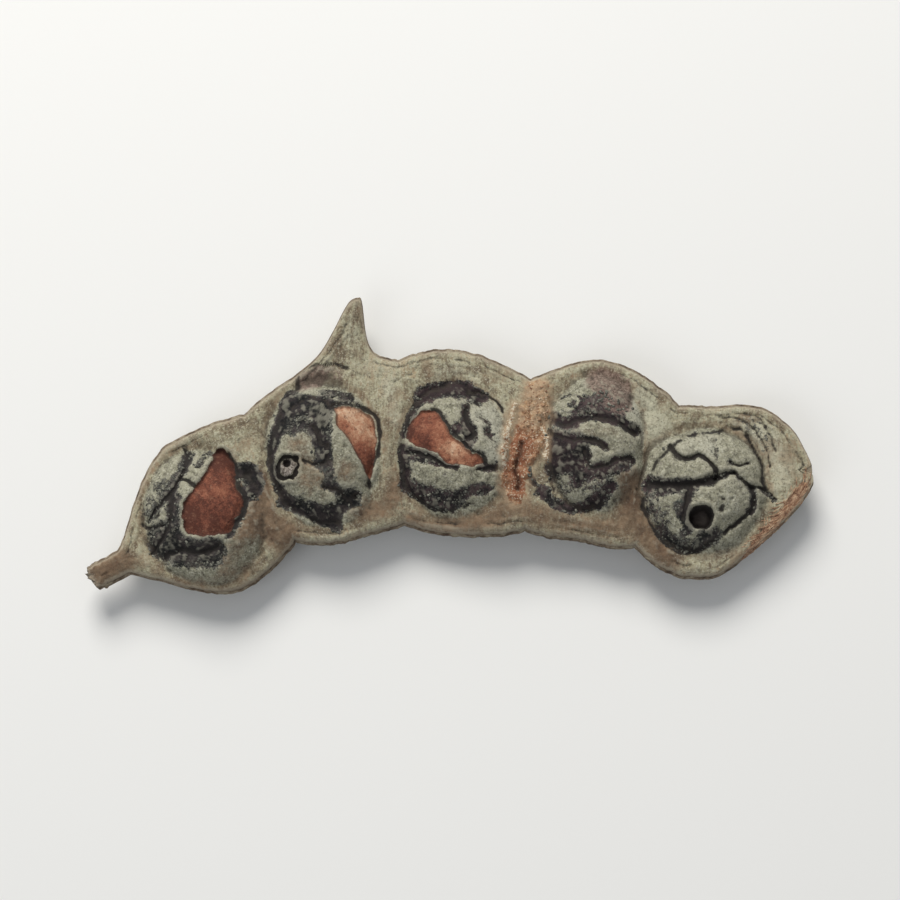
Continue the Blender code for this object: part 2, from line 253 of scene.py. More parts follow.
def depth_inside(points, outline):
    """Distance to an outline, positive inside it and negative outside."""
    corners = np.array(outline, float)
    inside = np.zeros(len(points), bool)
    for (x0, y0), (x1, y1) in zip(corners, np.roll(corners, -1, axis=0)):
        crosses = (y0 > points[:, 1]) != (y1 > points[:, 1])
        rise = y1 - y0 if y1 != y0 else 1e-12
        inside ^= crosses & (points[:, 0] < x0 + (points[:, 1] - y0) * (x1 - x0) / rise)
    return np.where(inside, 1.0, -1.0) * distance_to_line(points, outline, closed=True)


def rounded_line(points, steps=3):
    """The same line, bent smoothly through its points."""
    points = np.array(points, float)
    if len(points) < 3:
        return points
    places = np.linspace(0.0, len(points) - 1.0, steps * (len(points) - 1) + 1)
    return np.column_stack([curve_through(points[:, axis], places) for axis in (0, 1)])


def cloudy(points, size, slice_height, octaves=3):
    """Smooth random values of about -1 to 1, with blotches of the given size."""
    return np.array([
        noise.fractal((x / size, y / size, slice_height), 1.0, 2.0, octaves) for x, y in points
    ])


def crack_distance(points, cell, slice_height):
    """0 on the cracks between rounded cells, and about 1 in the middle of a cell."""
    gaps = []
    for x, y in points:
        nearest, _ = noise.voronoi((x / cell, y / cell, slice_height))
        gaps.append(nearest[1] - nearest[0])
    return np.array(gaps)


def swelling_radius(points, swelling):
    """0 in the middle of a seed chamber and 1 at its foot."""
    x, y, half_length, half_width, turn = swelling
    angle = math.radians(turn)
    dx, dy = points[:, 0] - x, points[:, 1] - y
    along = dx * math.cos(angle) + dy * math.sin(angle)
    beside = dy * math.cos(angle) - dx * math.sin(angle)
    return np.hypot(along / half_length, beside / half_width)


places = np.concatenate([
    *(stretch + np.arange(count) / count for stretch, count in enumerate(RINGS_PER_STRETCH)), [LAST],
])
middles = np.column_stack([curve_through(STATIONS[:, axis], places) for axis in (0, 1)])
upper_lean = curve_through(UPPER_LEAN, places)
lower_lean = curve_through(LOWER_LEAN, places)
away = places - WING_AT
wing_side = np.where(away > 0.0, WING_TIP_SIDE, WING_STALK_SIDE)
wing_flare = np.where(away > 0.0, WING_TIP_FLARE, WING_STALK_FLARE)
wing = WING_RISE / (1.0 + (np.abs(away) / wing_side) ** wing_flare)
margin_nicks = np.array([noise.fractal((place * NICK_RATE, 0.0, 5.0), 1.0, 2.0, 4) for place in places])
upper_reach = margin_offsets(places, 2) + wing + NICK_DEPTH * margin_nicks
lower_reach = margin_offsets(places, 3) + NICK_DEPTH * np.roll(margin_nicks, LOWER_NICK_SHIFT)
upper_ways = np.column_stack([np.sin(upper_lean), np.cos(upper_lean)])
lower_ways = np.column_stack([np.sin(lower_lean), -np.cos(lower_lean)])
upper_margin = middles + upper_reach[:, None] * upper_ways
lower_margin = middles + lower_reach[:, None] * lower_ways
outline = np.concatenate([upper_margin, lower_margin[::-1]])


def grid_over(steps):
    """Points from the upper margin over the middle line to the lower margin, ring by ring."""
    part = np.linspace(0.0, 1.0, steps + 1)[None, :, None]
    share = (upper_reach / (upper_reach + lower_reach))[:, None, None]
    first = upper_margin[:, None] + (middles - upper_margin)[:, None] * (part / share)
    second = middles[:, None] + (lower_margin - middles)[:, None] * ((part - share) / (1.0 - share))
    return np.where(part < share, first, second).reshape(-1, 2)


def plain_half_thickness(ring_places, margin_distance, from_middle):
    """Half the thickness of the pod between its seeds: thin at the margin, thicker in the middle."""
    stations = range(LAST + 1)
    plate = PLATE_HALF * np.interp(ring_places, stations, PLATE_FULLNESS)
    fullness = MID_THICKENING * np.interp(ring_places, stations, MID_FULLNESS)
    middle = fullness * np.exp(-((from_middle / MID_THICKENING_REACH) ** 2))
    rounded = np.sqrt(1.0 - (1.0 - np.clip(margin_distance / RIM_ROUND, 0.0, 1.0)) ** 2)
    return RIM_HALF + (plate - RIM_HALF + middle) * rounded


def sheet_height(points, ring_places, from_middle):
    """How high the pod's middle sheet lies: bowed, waved along its margins, curled at the wing."""
    wave = RIM_WAVE * np.sin(RIM_WAVE_RATE * ring_places + RIM_WAVE_SHIFT * np.sign(points[:, 1] + 4.0))
    wave *= smooth_step(from_middle, RIM_WAVE_FROM, RIM_WAVE_FULL)
    curl = WING_CURL * np.clip(from_middle - WING_CURL_FROM, 0.0, None) ** 2
    resting = UNDER_SWELL + PLATE_HALF + MID_THICKENING - FLAT_DEPTH
    return resting + curve_through(np.array(BOW), ring_places) + wave + curl


# Marks on the upper face. Drying drew the felted skin into puffy lobes with dark creases between
# them. Over the seeds the felt has worn to a dark crust with pale scraps on it, beetles have left
# round holes, and three patches of skin are gone down to the red pulp.

# Creases, darkened with painted shade; those along the pulp patches' right edges are painted shadow lines:
# half-width, depth, and the points on the way
CREASES = (
    # Bead 1
    (0.24, 0.30, ((-31.6, -8.4), (-30.6, -6.9), (-29.2, -5.6), (-28.3, -3.8), (-27.9, -2.0),
        (-28.2, -0.9))),
    (0.20, 0.24, ((-31.4, -11.6), (-30.2, -10.2), (-29.3, -8.4), (-29.2, -6.0))),
    (0.22, 0.30, ((-28.5, -4.4), (-27.6, -4.4), (-26.7, -5.1))),
    (0.20, 0.26, ((-30.0, -9.0), (-31.4, -9.2), (-32.6, -8.6))),
    (0.28, 0.36, ((-23.8, -1.3), (-23.2, -2.2), (-22.7, -3.6), (-22.4, -5.0), (-21.8, -6.3),
        (-22.2, -8.0), (-23.4, -9.6))),
    (0.30, 0.28, ((-30.0, -11.9), (-28.2, -11.4), (-26.2, -11.7), (-24.4, -11.2))),
    # Bead 2
    (0.34, 0.22, ((-16.8, 5.5), (-16.85, 6.4), (-16.6, 7.2), (-15.7, 7.85), (-14.2, 8.0), (-12.9, 7.85),
        (-11.8, 7.5))),
    (0.22, 0.34, ((-13.1, 3.3), (-12.2, 3.7), (-10.9, 3.55), (-9.7, 3.1), (-8.7, 2.2), (-8.35, 1.2),
        (-8.4, 0.0), (-8.55, -1.4), (-9.1, -2.8), (-9.5, -3.9), (-9.4, -4.9))),
    (0.22, 0.14, ((-13.4, 3.2), (-13.9, 3.8), (-15.0, 4.1), (-16.3, 3.8), (-17.2, 3.0))),
    (0.22, 0.26, ((-15.0, 1.0), (-14.5, 0.0), (-14.2, -0.7), (-13.6, -1.0))),
    (0.18, 0.24, ((-13.5, -2.0), (-13.7, -2.7), (-14.8, -2.9), (-15.9, -2.6))),
    (0.20, 0.20, ((-14.0, -5.0), (-12.6, -5.4), (-11.6, -6.2), (-10.7, -5.9))),
    # Bead 3
    (0.18, 0.24, ((0.9, 4.9), (1.7, 5.1), (2.6, 4.6), (3.3, 4.1), (3.9, 3.5), (4.2, 2.9))),
    (0.24, 0.34, ((-3.0, 3.0), (-2.3, 2.6), (-1.7, 1.5), (-1.2, 0.6), (-0.6, 0.05), (0.2, -0.7),
        (0.9, -1.4), (2.0, -1.8), (2.3, -2.6))),
    (0.22, 0.26, ((0.5, 3.2), (0.45, 2.2), (0.9, 1.2), (1.1, 0.3), (0.4, -0.2))),
    (0.20, 0.24, ((1.5, -3.4), (2.2, -3.3), (3.1, -3.0))),
    (0.20, 0.28, ((-5.6, -1.2), (-4.4, -1.6), (-3.1, -2.0), (-2.0, -2.75), (-0.6, -3.15))),
    (0.14, 0.16, ((1.9, 2.2), (2.7, 1.4), (2.6, 0.4), (3.2, -0.4))),
    # Bead 4
    (0.26, 0.17, ((9.2, 2.0), (9.9, 1.35), (10.9, 1.5), (12.0, 1.75), (13.2, 1.95), (14.6, 1.9),
        (15.7, 1.5), (16.6, 1.0), (17.4, 0.4))),
    (0.26, 0.15, ((8.9, 0.5), (9.8, 0.1), (10.9, -0.3), (12.2, -0.35), (13.4, -0.45), (14.2, -1.1),
        (14.8, -1.3))),
    (0.22, 0.20, ((12.3, -1.6), (12.5, -2.4), (12.9, -3.2), (14.0, -3.0), (15.1, -2.5), (15.9, -2.2),
        (17.0, -2.1))),
    (0.16, 0.08, ((17.0, 6.2), (17.15, 4.8), (16.85, 3.4))),
    # Bead 5
    (0.44, 0.55, ((19.1, -4.7), (20.5, -4.8), (22.0, -5.0), (23.5, -4.85), (24.8, -4.45), (25.7, -4.0))),
    (0.34, 0.46, ((25.7, -4.0), (26.4, -3.75), (27.2, -3.6))),
    (0.19, 0.32, ((27.2, -3.6), (28.0, -4.2), (29.0, -4.85), (30.3, -4.95), (31.0, -5.3), (31.6, -6.0))),
    (0.28, 0.48, ((25.7, -4.0), (25.5, -3.1), (24.7, -2.3), (23.8, -1.85), (23.0, -2.1), (22.2, -2.15),
        (21.6, -1.7), (21.0, -0.8))),
    (0.21, 0.34, ((29.15, -5.0), (29.4, -5.8), (29.4, -6.6), (29.2, -7.2), (28.6, -8.0), (27.6, -8.75),
        (26.6, -9.4))),
    (0.30, 0.20, ((22.9, -5.3), (22.6, -6.2), (22.4, -7.2), (22.3, -8.2))),
    (0.18, 0.26, ((26.95, -2.35), (27.5, -2.8), (28.1, -2.85), (28.7, -2.55))),
    (0.16, 0.10, ((25.5, -0.2), (25.7, -0.9), (25.5, -1.6), (25.6, -2.3))),
    (0.18, 0.26, ((28.8, 0.6), (29.4, -0.6), (29.9, -1.6), (30.3, -2.6), (30.45, -4.0), (30.8, -5.0))),
    # Folds in the margins
    (0.15, 0.14, ((-4.1, 8.0), (-4.6, 7.6), (-5.3, 6.8), (-6.2, 6.4), (-6.9, 6.0))),
    (0.12, 0.12, ((-11.6, 7.4), (-10.9, 7.1), (-10.2, 6.7), (-9.4, 6.5))),
    (0.13, 0.14, ((17.6, 6.2), (18.8, 6.0), (19.9, 5.2), (21.0, 4.2))),
    (0.12, 0.10, ((18.1, 0.8), (18.35, 0.1), (18.2, -0.8))),
    (0.20, 0.19, ((26.0, 2.4), (28.0, 2.3), (29.4, 1.4), (30.3, 0.2), (30.9, -1.2), (31.1, -2.6))),
    (0.20, 0.17, ((27.6, 3.0), (29.4, 2.7), (30.6, 1.6), (31.3, 0.3), (31.8, -1.0))),
    (0.18, 0.14, ((27.0, 1.6), (28.4, 1.2), (29.5, 0.1), (30.1, -1.2))),
)

# Dark worn places (strength above 0) and pale scraps (below 0): half-width, strength, points
WORN_PLACES = (
    # Bead 1
    (1.0, 1.0, ((-22.6, -3.0), (-21.4, -3.2), (-20.9, -4.4), (-21.4, -5.4))),
    (0.5, 0.8, ((-21.8, -5.8), (-22.2, -7.4), (-23.4, -9.8))),
    (1.7, 0.9, ((-30.4, -10.6), (-28.0, -11.6), (-25.2, -11.6))),
    (0.8, 0.8, ((-28.8, -6.4), (-29.0, -8.4), (-28.8, -10.0))),
    (0.7, 0.65, ((-29.6, -5.6), (-28.4, -3.2), (-27.8, -1.6))),
    (0.5, 0.5, ((-26.6, -2.8), (-26.2, -1.8), (-25.6, -1.4))),
    (1.6, 0.4, ((-31.4, -7.4), (-30.4, -5.2))),
    # Bead 2
    (0.65, 0.95, ((-17.4, 4.6), (-18.1, 2.9), (-18.4, 1.5), (-18.8, 0.3), (-19.2, -1.0))),
    (0.45, 0.85, ((-19.2, -1.0), (-19.5, -2.2), (-19.2, -3.4), (-18.9, -4.6), (-18.3, -5.6))),
    (1.6, 1.0, ((-17.0, 3.3), (-15.6, 3.2), (-14.2, 3.2))),
    (1.5, 0.85, ((-17.0, 3.0), (-14.6, 2.4))),
    (1.2, 0.74, ((-17.6, 1.4), (-16.2, 1.2), (-15.0, 1.0))),
    (1.1, 0.85, ((-14.7, 2.6), (-14.3, 1.0), (-14.0, -0.8), (-13.8, -2.6))),
    (0.7, 0.75, ((-13.8, -2.8), (-13.5, -4.2), (-13.2, -5.0))),
    (0.55, 0.7, ((-14.6, 4.7), (-12.9, 4.8), (-11.4, 4.4))),
    (0.8, 0.95, ((-18.2, -6.2), (-16.4, -6.9), (-14.2, -7.4), (-12.4, -7.2), (-11.0, -6.2))),
    (0.8, 0.95, ((-14.4, -7.9), (-13.2, -8.2), (-12.7, -8.8))),
    (0.6, 0.6, ((-12.4, -5.8), (-11.2, -5.8), (-10.6, -5.9))),
    (0.4, -0.6, ((-15.0, 4.8), (-14.5, 4.5))),
    (0.35, -0.5, ((-16.6, 1.9), (-15.8, 2.1), (-15.3, 1.5))),
    # Bead 3
    (1.1, 1.0, ((-3.9, 4.6), (-2.6, 5.2), (-1.2, 5.3), (0.4, 5.1), (1.6, 4.8))),
    (0.8, 0.8, ((-3.2, 4.8), (-1.8, 5.2), (0.2, 5.1))),
    (0.6, 0.8, ((-4.6, 3.6), (-5.2, 2.2), (-5.8, 0.8))),
    (0.5, 0.75, ((0.4, 3.1), (0.4, 2.0), (0.5, 1.2))),
    (0.75, 0.9, ((-0.4, 0.8), (0.3, 0.9), (0.9, 0.7))),
    (0.5, 0.75, ((0.5, 0.6), (0.7, -0.3), (0.3, -0.7))),
    (0.5, 0.95, ((-6.1, -0.8), (-6.0, -2.0), (-5.7, -3.2), (-5.9, -4.2), (-5.2, -5.0))),
    (0.75, 0.75, ((-5.4, -1.4), (-4.2, -1.9), (-2.9, -2.3))),
    (0.35, 0.75, ((-2.8, -2.4), (-1.6, -2.8), (-0.6, -3.1))),
    (1.0, 0.8, ((-5.4, -4.8), (-4.0, -5.5), (-2.4, -5.9), (-1.0, -6.3))),
    (0.6, 0.85, ((-0.6, -6.1), (0.7, -5.4), (2.3, -5.1))),
    (0.55, 0.75, ((2.0, -2.9), (2.7, -3.1), (3.1, -3.0))),
    (0.3, 0.7, ((1.4, 3.9), (1.6, 3.7))),
    (0.5, 0.45, ((2.2, 0.7), (2.8, 0.4))),
    (0.5, -0.7, ((1.3, 5.9), (2.4, 5.5))),
    (0.3, -0.8, ((-5.4, -1.4), (-5.1, -1.5))),
    # Bead 4
    (0.75, 0.95, ((9.5, 2.0), (10.4, 1.5), (11.0, 1.5))),
    (0.4, 0.85, ((11.0, 1.6), (12.5, 1.8), (14.0, 2.0))),
    (0.7, 0.9, ((14.2, 2.1), (15.6, 1.7), (16.6, 1.2))),
    (0.6, 0.95, ((16.7, 1.3), (17.5, 0.9))),
    (1.2, 0.66, ((11.8, 3.1), (13.6, 3.3), (15.6, 2.8))),
    (0.8, 0.4, ((12.6, 4.3), (14.4, 4.3))),
    (1.45, 1.0, ((9.4, -0.6), (10.8, -1.2), (11.4, -1.9), (10.8, -2.6), (9.7, -2.7))),
    (1.5, 1.0, ((10.2, -1.0), (11.3, -1.4), (11.0, -2.3))),
    (0.9, 0.9, ((9.8, -1.2), (10.7, -1.9), (10.0, -2.3))),
    (0.45, 0.85, ((12.3, -0.5), (13.4, -0.5), (14.3, -1.1))),
    (0.75, 0.85, ((11.6, -4.3), (13.2, -3.6), (15.0, -3.3), (16.2, -3.0))),
    (0.5, 0.85, ((15.4, -2.4), (17.0, -2.3))),
    (1.2, 0.36, ((9.0, -4.6), (11.2, -5.0), (13.6, -4.9))),
    (0.7, 0.9, ((7.9, -5.2), (9.1, -6.4), (11.2, -7.0), (13.0, -6.6), (14.2, -5.9), (15.0, -4.9))),
    (0.35, 0.6, ((9.0, 0.6), (8.9, -1.0), (9.1, -2.6))),
    (0.3, -0.8, ((17.2, 2.1), (17.4, 1.9))),
    (0.28, 0.9, ((6.8, -3.0), (6.9, -3.8), (7.3, -4.5))),
    # Bead 5
    (0.95, 0.97, ((19.0, -4.8), (20.5, -5.0), (22.2, -5.2))),
    (0.5, 0.9, ((22.2, -5.0), (23.6, -4.9), (25.0, -4.4))),
    (0.9, 0.85, ((22.6, -5.4), (22.2, -6.6), (22.2, -7.8), (22.6, -9.0))),
    (1.3, 0.42, ((19.6, -6.4), (20.2, -8.2), (21.2, -9.6))),
    (0.8, 0.66, ((20.0, -9.6), (21.4, -10.6), (23.2, -10.9), (25.3, -10.0))),
    (0.6, 0.7, ((24.1, -9.8), (25.6, -9.4))),
    (0.45, 0.8, ((29.2, -5.4), (29.4, -6.6), (29.1, -7.4))),
    (0.3, 0.7, ((30.2, -5.2), (31.0, -5.6), (31.5, -6.1))),
    (1.1, 0.36, ((28.6, 2.4), (30.0, 1.0), (31.0, -0.4))),
    (0.6, -0.5, ((19.6, -6.5), (20.6, -6.3), (21.6, -6.3))),
    (0.6, -0.6, ((21.0, -8.2), (21.8, -8.9))),
)

# Grooves round the foot of each chamber, dark with painted shade: half-width and points
FOOT_LINES = (
    (0.20, ((-18.4, 2.6), (-18.7, 1.2), (-19.1, 0.0), (-19.5, -1.4), (-19.5, -2.6), (-19.2, -4.0),
        (-18.7, -5.2), (-18.0, -6.3), (-16.8, -7.1), (-15.4, -7.9), (-14.2, -8.4), (-12.8, -8.4))),
    (0.22, ((-4.9, 3.6), (-5.6, 1.6), (-6.0, 0.2), (-6.3, -1.2), (-6.2, -2.6), (-6.0, -4.0),
        (-5.4, -5.4), (-4.0, -6.4), (-2.4, -7.1), (-0.8, -7.2), (0.6, -6.6))),
    (0.15, ((9.1, 2.6), (8.9, 0.8), (8.8, -0.8), (9.0, -2.6), (9.0, -4.4), (9.4, -6.0), (10.6, -7.1),
        (12.4, -7.2), (14.2, -6.4))),
    (0.22, ((18.1, -7.0), (18.3, -6.0), (18.8, -4.5), (19.2, -3.4), (19.7, -2.5), (20.4, -1.8),
        (21.3, -0.9), (22.3, 0.1), (23.4, 0.6), (24.6, 0.75), (25.8, 0.9), (27.2, 1.25), (28.2, 1.3))),
    (0.24, ((18.1, -6.8), (18.6, -7.8), (19.2, -9.0), (20.0, -10.1), (21.2, -11.1), (22.4, -11.5),
        (23.8, -11.2), (25.2, -10.5), (26.6, -9.5), (27.8, -8.7))),
)

# Tinted places: half-width, strength and points
PINK_PLACES = (
    (1.8, 1.0, ((14.1, 5.9), (15.5, 5.4), (15.8, 4.0))),
    (1.3, 1.0, ((-16.0, 6.2), (-15.0, 6.6))),
    (1.0, 0.5, ((-14.2, 7.2), (-12.6, 6.9))),
)
# Brown places are partly the skin's own brown and partly painted shade, mostly low along the lower margins
# and in the necks.
BROWN_AND_SHADE_PLACES = (
    (1.9, 1.0, ((-21.6, -5.5), (-20.6, -8.4), (-18.0, -9.6))),
    (1.0, 0.9, ((-20.6, -4.0), (-20.2, -6.6), (-19.8, -8.6))),
    (1.3, 0.8, ((-10.2, -7.4), (-7.6, -6.6), (-6.6, -4.8))),
    (1.1, 0.4, ((-7.6, 1.4), (-7.3, -2.8))),
    (1.2, 0.75, ((-5.2, -8.2), (-1.0, -8.8), (3.4, -8.2))),
    (1.5, 0.72, ((4.6, -6.6), (7.6, -7.6), (12.0, -8.8), (15.4, -8.8))),
    (1.5, 0.85, ((17.0, -4.2), (17.2, -7.4), (18.8, -10.4), (21.0, -12.2))),
    (1.0, 0.30, ((23.4, -13.4), (27.0, -12.6), (29.4, -9.8))),
    (1.0, 0.55, ((-29.0, -14.6), (-24.0, -15.0), (-21.0, -12.8))),
    (1.6, 0.9, ((-37.5, -14.1), (-34.2, -12.3))),
    (1.7, 0.55, ((-16.4, -1.0), (-15.0, -4.4), (-12.4, -3.6))),
    (1.4, 0.32, ((11.4, 0.6), (13.2, 0.8), (15.4, 0.2))),
    (1.1, 0.6, ((-22.0, -8.2), (-22.6, -10.8), (-24.0, -12.6))),
)
PALE_PLACES = (
    (1.6, 0.55, ((27.4, -6.2), (26.6, -7.4))),
    (1.6, 0.45, ((23.4, -0.6), (26.4, -0.4))),
    (1.3, 0.8, ((2.4, 2.8), (3.0, -0.6), (2.6, -1.6))),
    (1.2, 0.6, ((28.6, 1.4), (30.8, -0.6))),
    (1.2, 0.2, ((-2.6, 6.4), (2.6, 6.6))),
    (2.1, 1.0, ((18.0, 3.8), (19.2, 1.4))),
    (1.4, 0.65, ((31.4, -1.8), (32.4, -4.4))),
    (1.2, 0.5, ((30.2, 1.0), (32.0, -0.6), (33.6, -2.4))),
    (1.0, 0.8, ((3.6, 3.4), (4.0, 0.8), (3.8, -2.0))),
    (1.3, 0.5, ((-11.4, 12.0), (-10.6, 8.6), (-7.6, 7.2))),
    (1.0, 0.7, ((-7.2, 5.4), (-7.0, 2.0))),
    (0.9, 0.7, ((1.4, 2.2), (2.2, 1.8))),
    (1.0, 0.6, ((22.0, -0.9), (25.0, -1.2))),
    (1.2, 0.6, ((25.0, -11.9), (28.0, -10.8))),
    (1.0, 0.5, ((-2.0, 7.4), (0.8, 7.2))),
)
TORN_EDGE = ((34.6, -4.9), (33.4, -6.4), (32.2, -7.8), (30.6, -9.6), (28.9, -11.6))
TORN_HALF_WIDTH = 0.55

# Patches without skin: depth, how orange the pulp is, and the outline
PULP_PATCHES = (
    (0.42, 0.08, ((-25.3, -1.4), (-25.0, -0.9), (-24.4, -0.7), (-23.9, -1.2), (-23.2, -2.2),
        (-22.8, -3.5), (-22.7, -5.0), (-22.1, -6.0), (-22.0, -7.0), (-22.5, -8.0), (-23.2, -9.4),
        (-24.0, -9.9), (-25.6, -10.1), (-27.6, -9.9), (-28.1, -8.5), (-28.0, -7.0), (-27.5, -6.0),
        (-26.9, -5.0), (-26.0, -3.6), (-25.5, -2.4))),
    (0.52, 0.72, ((-13.0, 3.1), (-12.0, 3.5), (-10.6, 3.3), (-9.4, 2.6), (-8.8, 1.5), (-8.7, 0.0),
        (-8.8, -1.5), (-9.0, -3.0), (-9.4, -4.3), (-9.9, -3.4), (-10.3, -2.5), (-10.9, -1.4),
        (-11.6, -0.2), (-12.2, 0.5), (-12.8, 1.2), (-12.9, 2.2))),
    (0.50, 0.42, ((-5.3, 1.7), (-4.6, 2.5), (-3.8, 2.95), (-2.9, 2.9), (-2.3, 2.4), (-1.8, 1.4),
        (-1.2, 0.4), (-0.6, -0.2), (0.2, -0.9), (0.9, -1.6), (1.9, -1.9), (2.1, -2.5), (1.3, -3.1),
        (-0.4, -2.9), (-1.7, -2.5), (-2.7, -1.7), (-3.8, -1.3), (-4.8, -0.8), (-5.7, 0.3))),
)
# Where the pulp is lighter (above 0) or darker (below 0): radius, strength and the middle
PULP_TONES = (
    (1.6, 0.28, (-11.2, 2.3)), (0.8, -0.45, (-12.0, 1.2)), (1.5, -0.65, (-9.6, -2.2)),
    (1.5, 0.46, (-0.6, -1.4)), (1.6, -0.15, (-4.2, 1.4)), (1.0, -0.6, (-5.6, 0.4)),
        (1.0, -0.4, (-3.6, -0.9)),
    (1.7, 0.22, (-24.6, -4.6)), (1.8, -0.35, (-24.6, -1.2)), (1.2, -0.3, (-27.6, -8.0)),
)

WING_HOLLOW = (0.32, ((-16.8, 5.3), (-16.6, 7.1), (-15.6, 7.7), (-13.6, 7.6), (-12.2, 7.1), (-13.6, 5.8)))

# Small pricks and dimples: middle, radius, depth
PRICKS = (
    (26.05, -7.30, 0.45, 0.26),
    (26.00, -6.40, 0.28, 0.20),
    (1.50, 3.80, 0.30, 0.22),
    (-10.70, -5.90, 0.28, 0.20),
    (12.85, -2.05, 0.24, 0.14),
    (-30.60, -7.90, 0.30, 0.20),
    (-21.55, -3.35, 0.75, 0.40),
)
RING_MARK = (10.85, 3.6, 0.72)

# The hole a beetle left in bead 5 has a flat side; the one in bead 2 is a ring round a plug
ROUND_HOLE = (24.05, -8.1, 1.28, -9.25, 1.4)
PLUGGED_HOLE = (-17.7, -3.1, 1.06, 0.24, 0.42)
PLUG_PRICK = (-17.7, -2.6, 0.42, 0.7)
HOLE_LIP = 0.16

# The gum crust: points with the half-width at each, and the slit down its near end
GUM_LINE = ((7.6, 5.2, 1.2), (7.6, 4.0, 1.5), (7.2, 2.2, 1.5), (6.9, 0.6, 1.6), (6.4, -0.8, 1.75),
    (5.8, -2.4, 1.4), (5.2, -3.8, 1.4), (5.3, -5.0, 1.25), (5.6, -5.8, 0.8))
GUM_SLIT = (0.24, 0.6, ((6.0, -0.4), (5.75, -1.6), (5.4, -2.5), (5.4, -3.5), (5.7, -4.8)))
GUM_RED_REACH = 1.6
GUM_RIDGES = (
    (0.35, 0.25, ((5.3, 3.6), (5.1, 2.2), (4.7, 1.0), (4.5, 0.0), (4.1, -1.4), (4.2, -2.6))),
    (0.28, 0.22, ((8.3, 1.2), (8.5, 0.2), (8.6, -0.8), (8.5, -1.9))),
)

ABSENT = -3.0
TINT_REACH = (0.0, 1.9)


def bell(gap):
    """1 where the gap is 0, falling smoothly towards 0 past 2."""
    return np.exp(-(gap ** 2))


def drift(points, size, slices, octaves=3):
    """Two smooth random values for each point, to shift it by."""
    return np.column_stack([cloudy(points, size, slice_height, octaves) for slice_height in slices])


def soft_lines(points, lines, reach_low=0.35, reach_high=1.35):
    """Soft spots along lines, given as half-width, strength and points, blended as washes are."""
    bare = np.ones(len(points))
    scraps = np.ones(len(points))
    for half_width, strength, line in lines:
        gap = distance_to_line(points, rounded_line(line, 2)) / half_width
        share = abs(strength) * (1.0 - smooth_step(gap, reach_low, reach_high))
        if strength > 0.0:
            bare *= 1.0 - share
        else:
            scraps *= 1.0 - share
    return (1.0 - bare) * scraps


# How soft each chamber's foot is on the side towards the tip, in mm, and how deep its crease there
TIP_SIDE_SOFTNESS = (0.12, 0.22, 0.26, 0.20, 0.07)
TIP_SIDE_CREASE = (0.5, 0.25, 0.15, 0.3, 1.0)
FOOT_SOFTNESS = 0.06
FOOT_RADIUS = 1.03


def chambers(points, slow, swell):
    """The seed chambers: radius (1 at the foot), a mask of what is inside, and the height."""
    shifted = points + 0.35 * slow
    radii = np.array([swelling_radius(shifted, swelling) for swelling in SWELLINGS])
    nearest = radii.argmin(axis=0)
    radius = radii.min(axis=0)
    centre_x = np.array([swelling[0] for swelling in SWELLINGS])[nearest]
    half_length = np.array([swelling[2] for swelling in SWELLINGS])[nearest]
    tip_side = smooth_step((points[:, 0] - centre_x) / half_length, -0.3, 0.7)
    softness = FOOT_SOFTNESS + (np.array(TIP_SIDE_SOFTNESS)[nearest] - FOOT_SOFTNESS) * tip_side
    creasing = 1.0 + (np.array(TIP_SIDE_CREASE)[nearest] - 1.0) * tip_side
    rise = np.clip(swell * (1.0 - radius ** SWELL_POWER) / softness, -30.0, 60.0)
    height = softness * np.logaddexp(0.0, rise)
    height -= FOOT_CREASE_DEPTH * creasing * bell((radius - FOOT_RADIUS) / FOOT_CREASE_WIDTH)
    return radius, 1.0 - smooth_step(radius, 0.93, 1.06), height


# Fine lines in the felt along the margin: how far inside it, and how strong
MARGIN_LINES = ((0.8, 1.0), (1.5, 0.6), (2.3, 0.35))
MARGIN_LINE_HALF_WIDTH = 0.19


def margin_folds(points, margin_distance, slow, quick):
    """Fine broken lines that follow the margin in the felt."""
    lines = np.zeros(len(points))
    for inset, weight in MARGIN_LINES:
        gap = margin_distance - inset - 0.3 * slow[:, 0] - 0.1 * quick[:, 0]
        lines = np.maximum(lines, weight * bell(gap / MARGIN_LINE_HALF_WIDTH))
    return lines * smooth_step(cloudy(points, 3.0, 83.0, 2), -0.35, 0.05)


FULLY_SHADED_CREASE_DEPTH = 0.3
FOOT_LINE_DEPTH = 0.14
LOBE_ROUNDING = 0.20
LOBE_ROUNDING_REACH = 0.75
WORN_THROUGH = (0.30, 0.70)
CRUST_DEPTH = 0.15
SKIN_EDGE_RISE = 0.10
GUM_DEPTH = 0.14
PLUG_DEPTH = 0.16
PLUG_LIP_RADIUS = 1.5
RING_RISE = 0.16


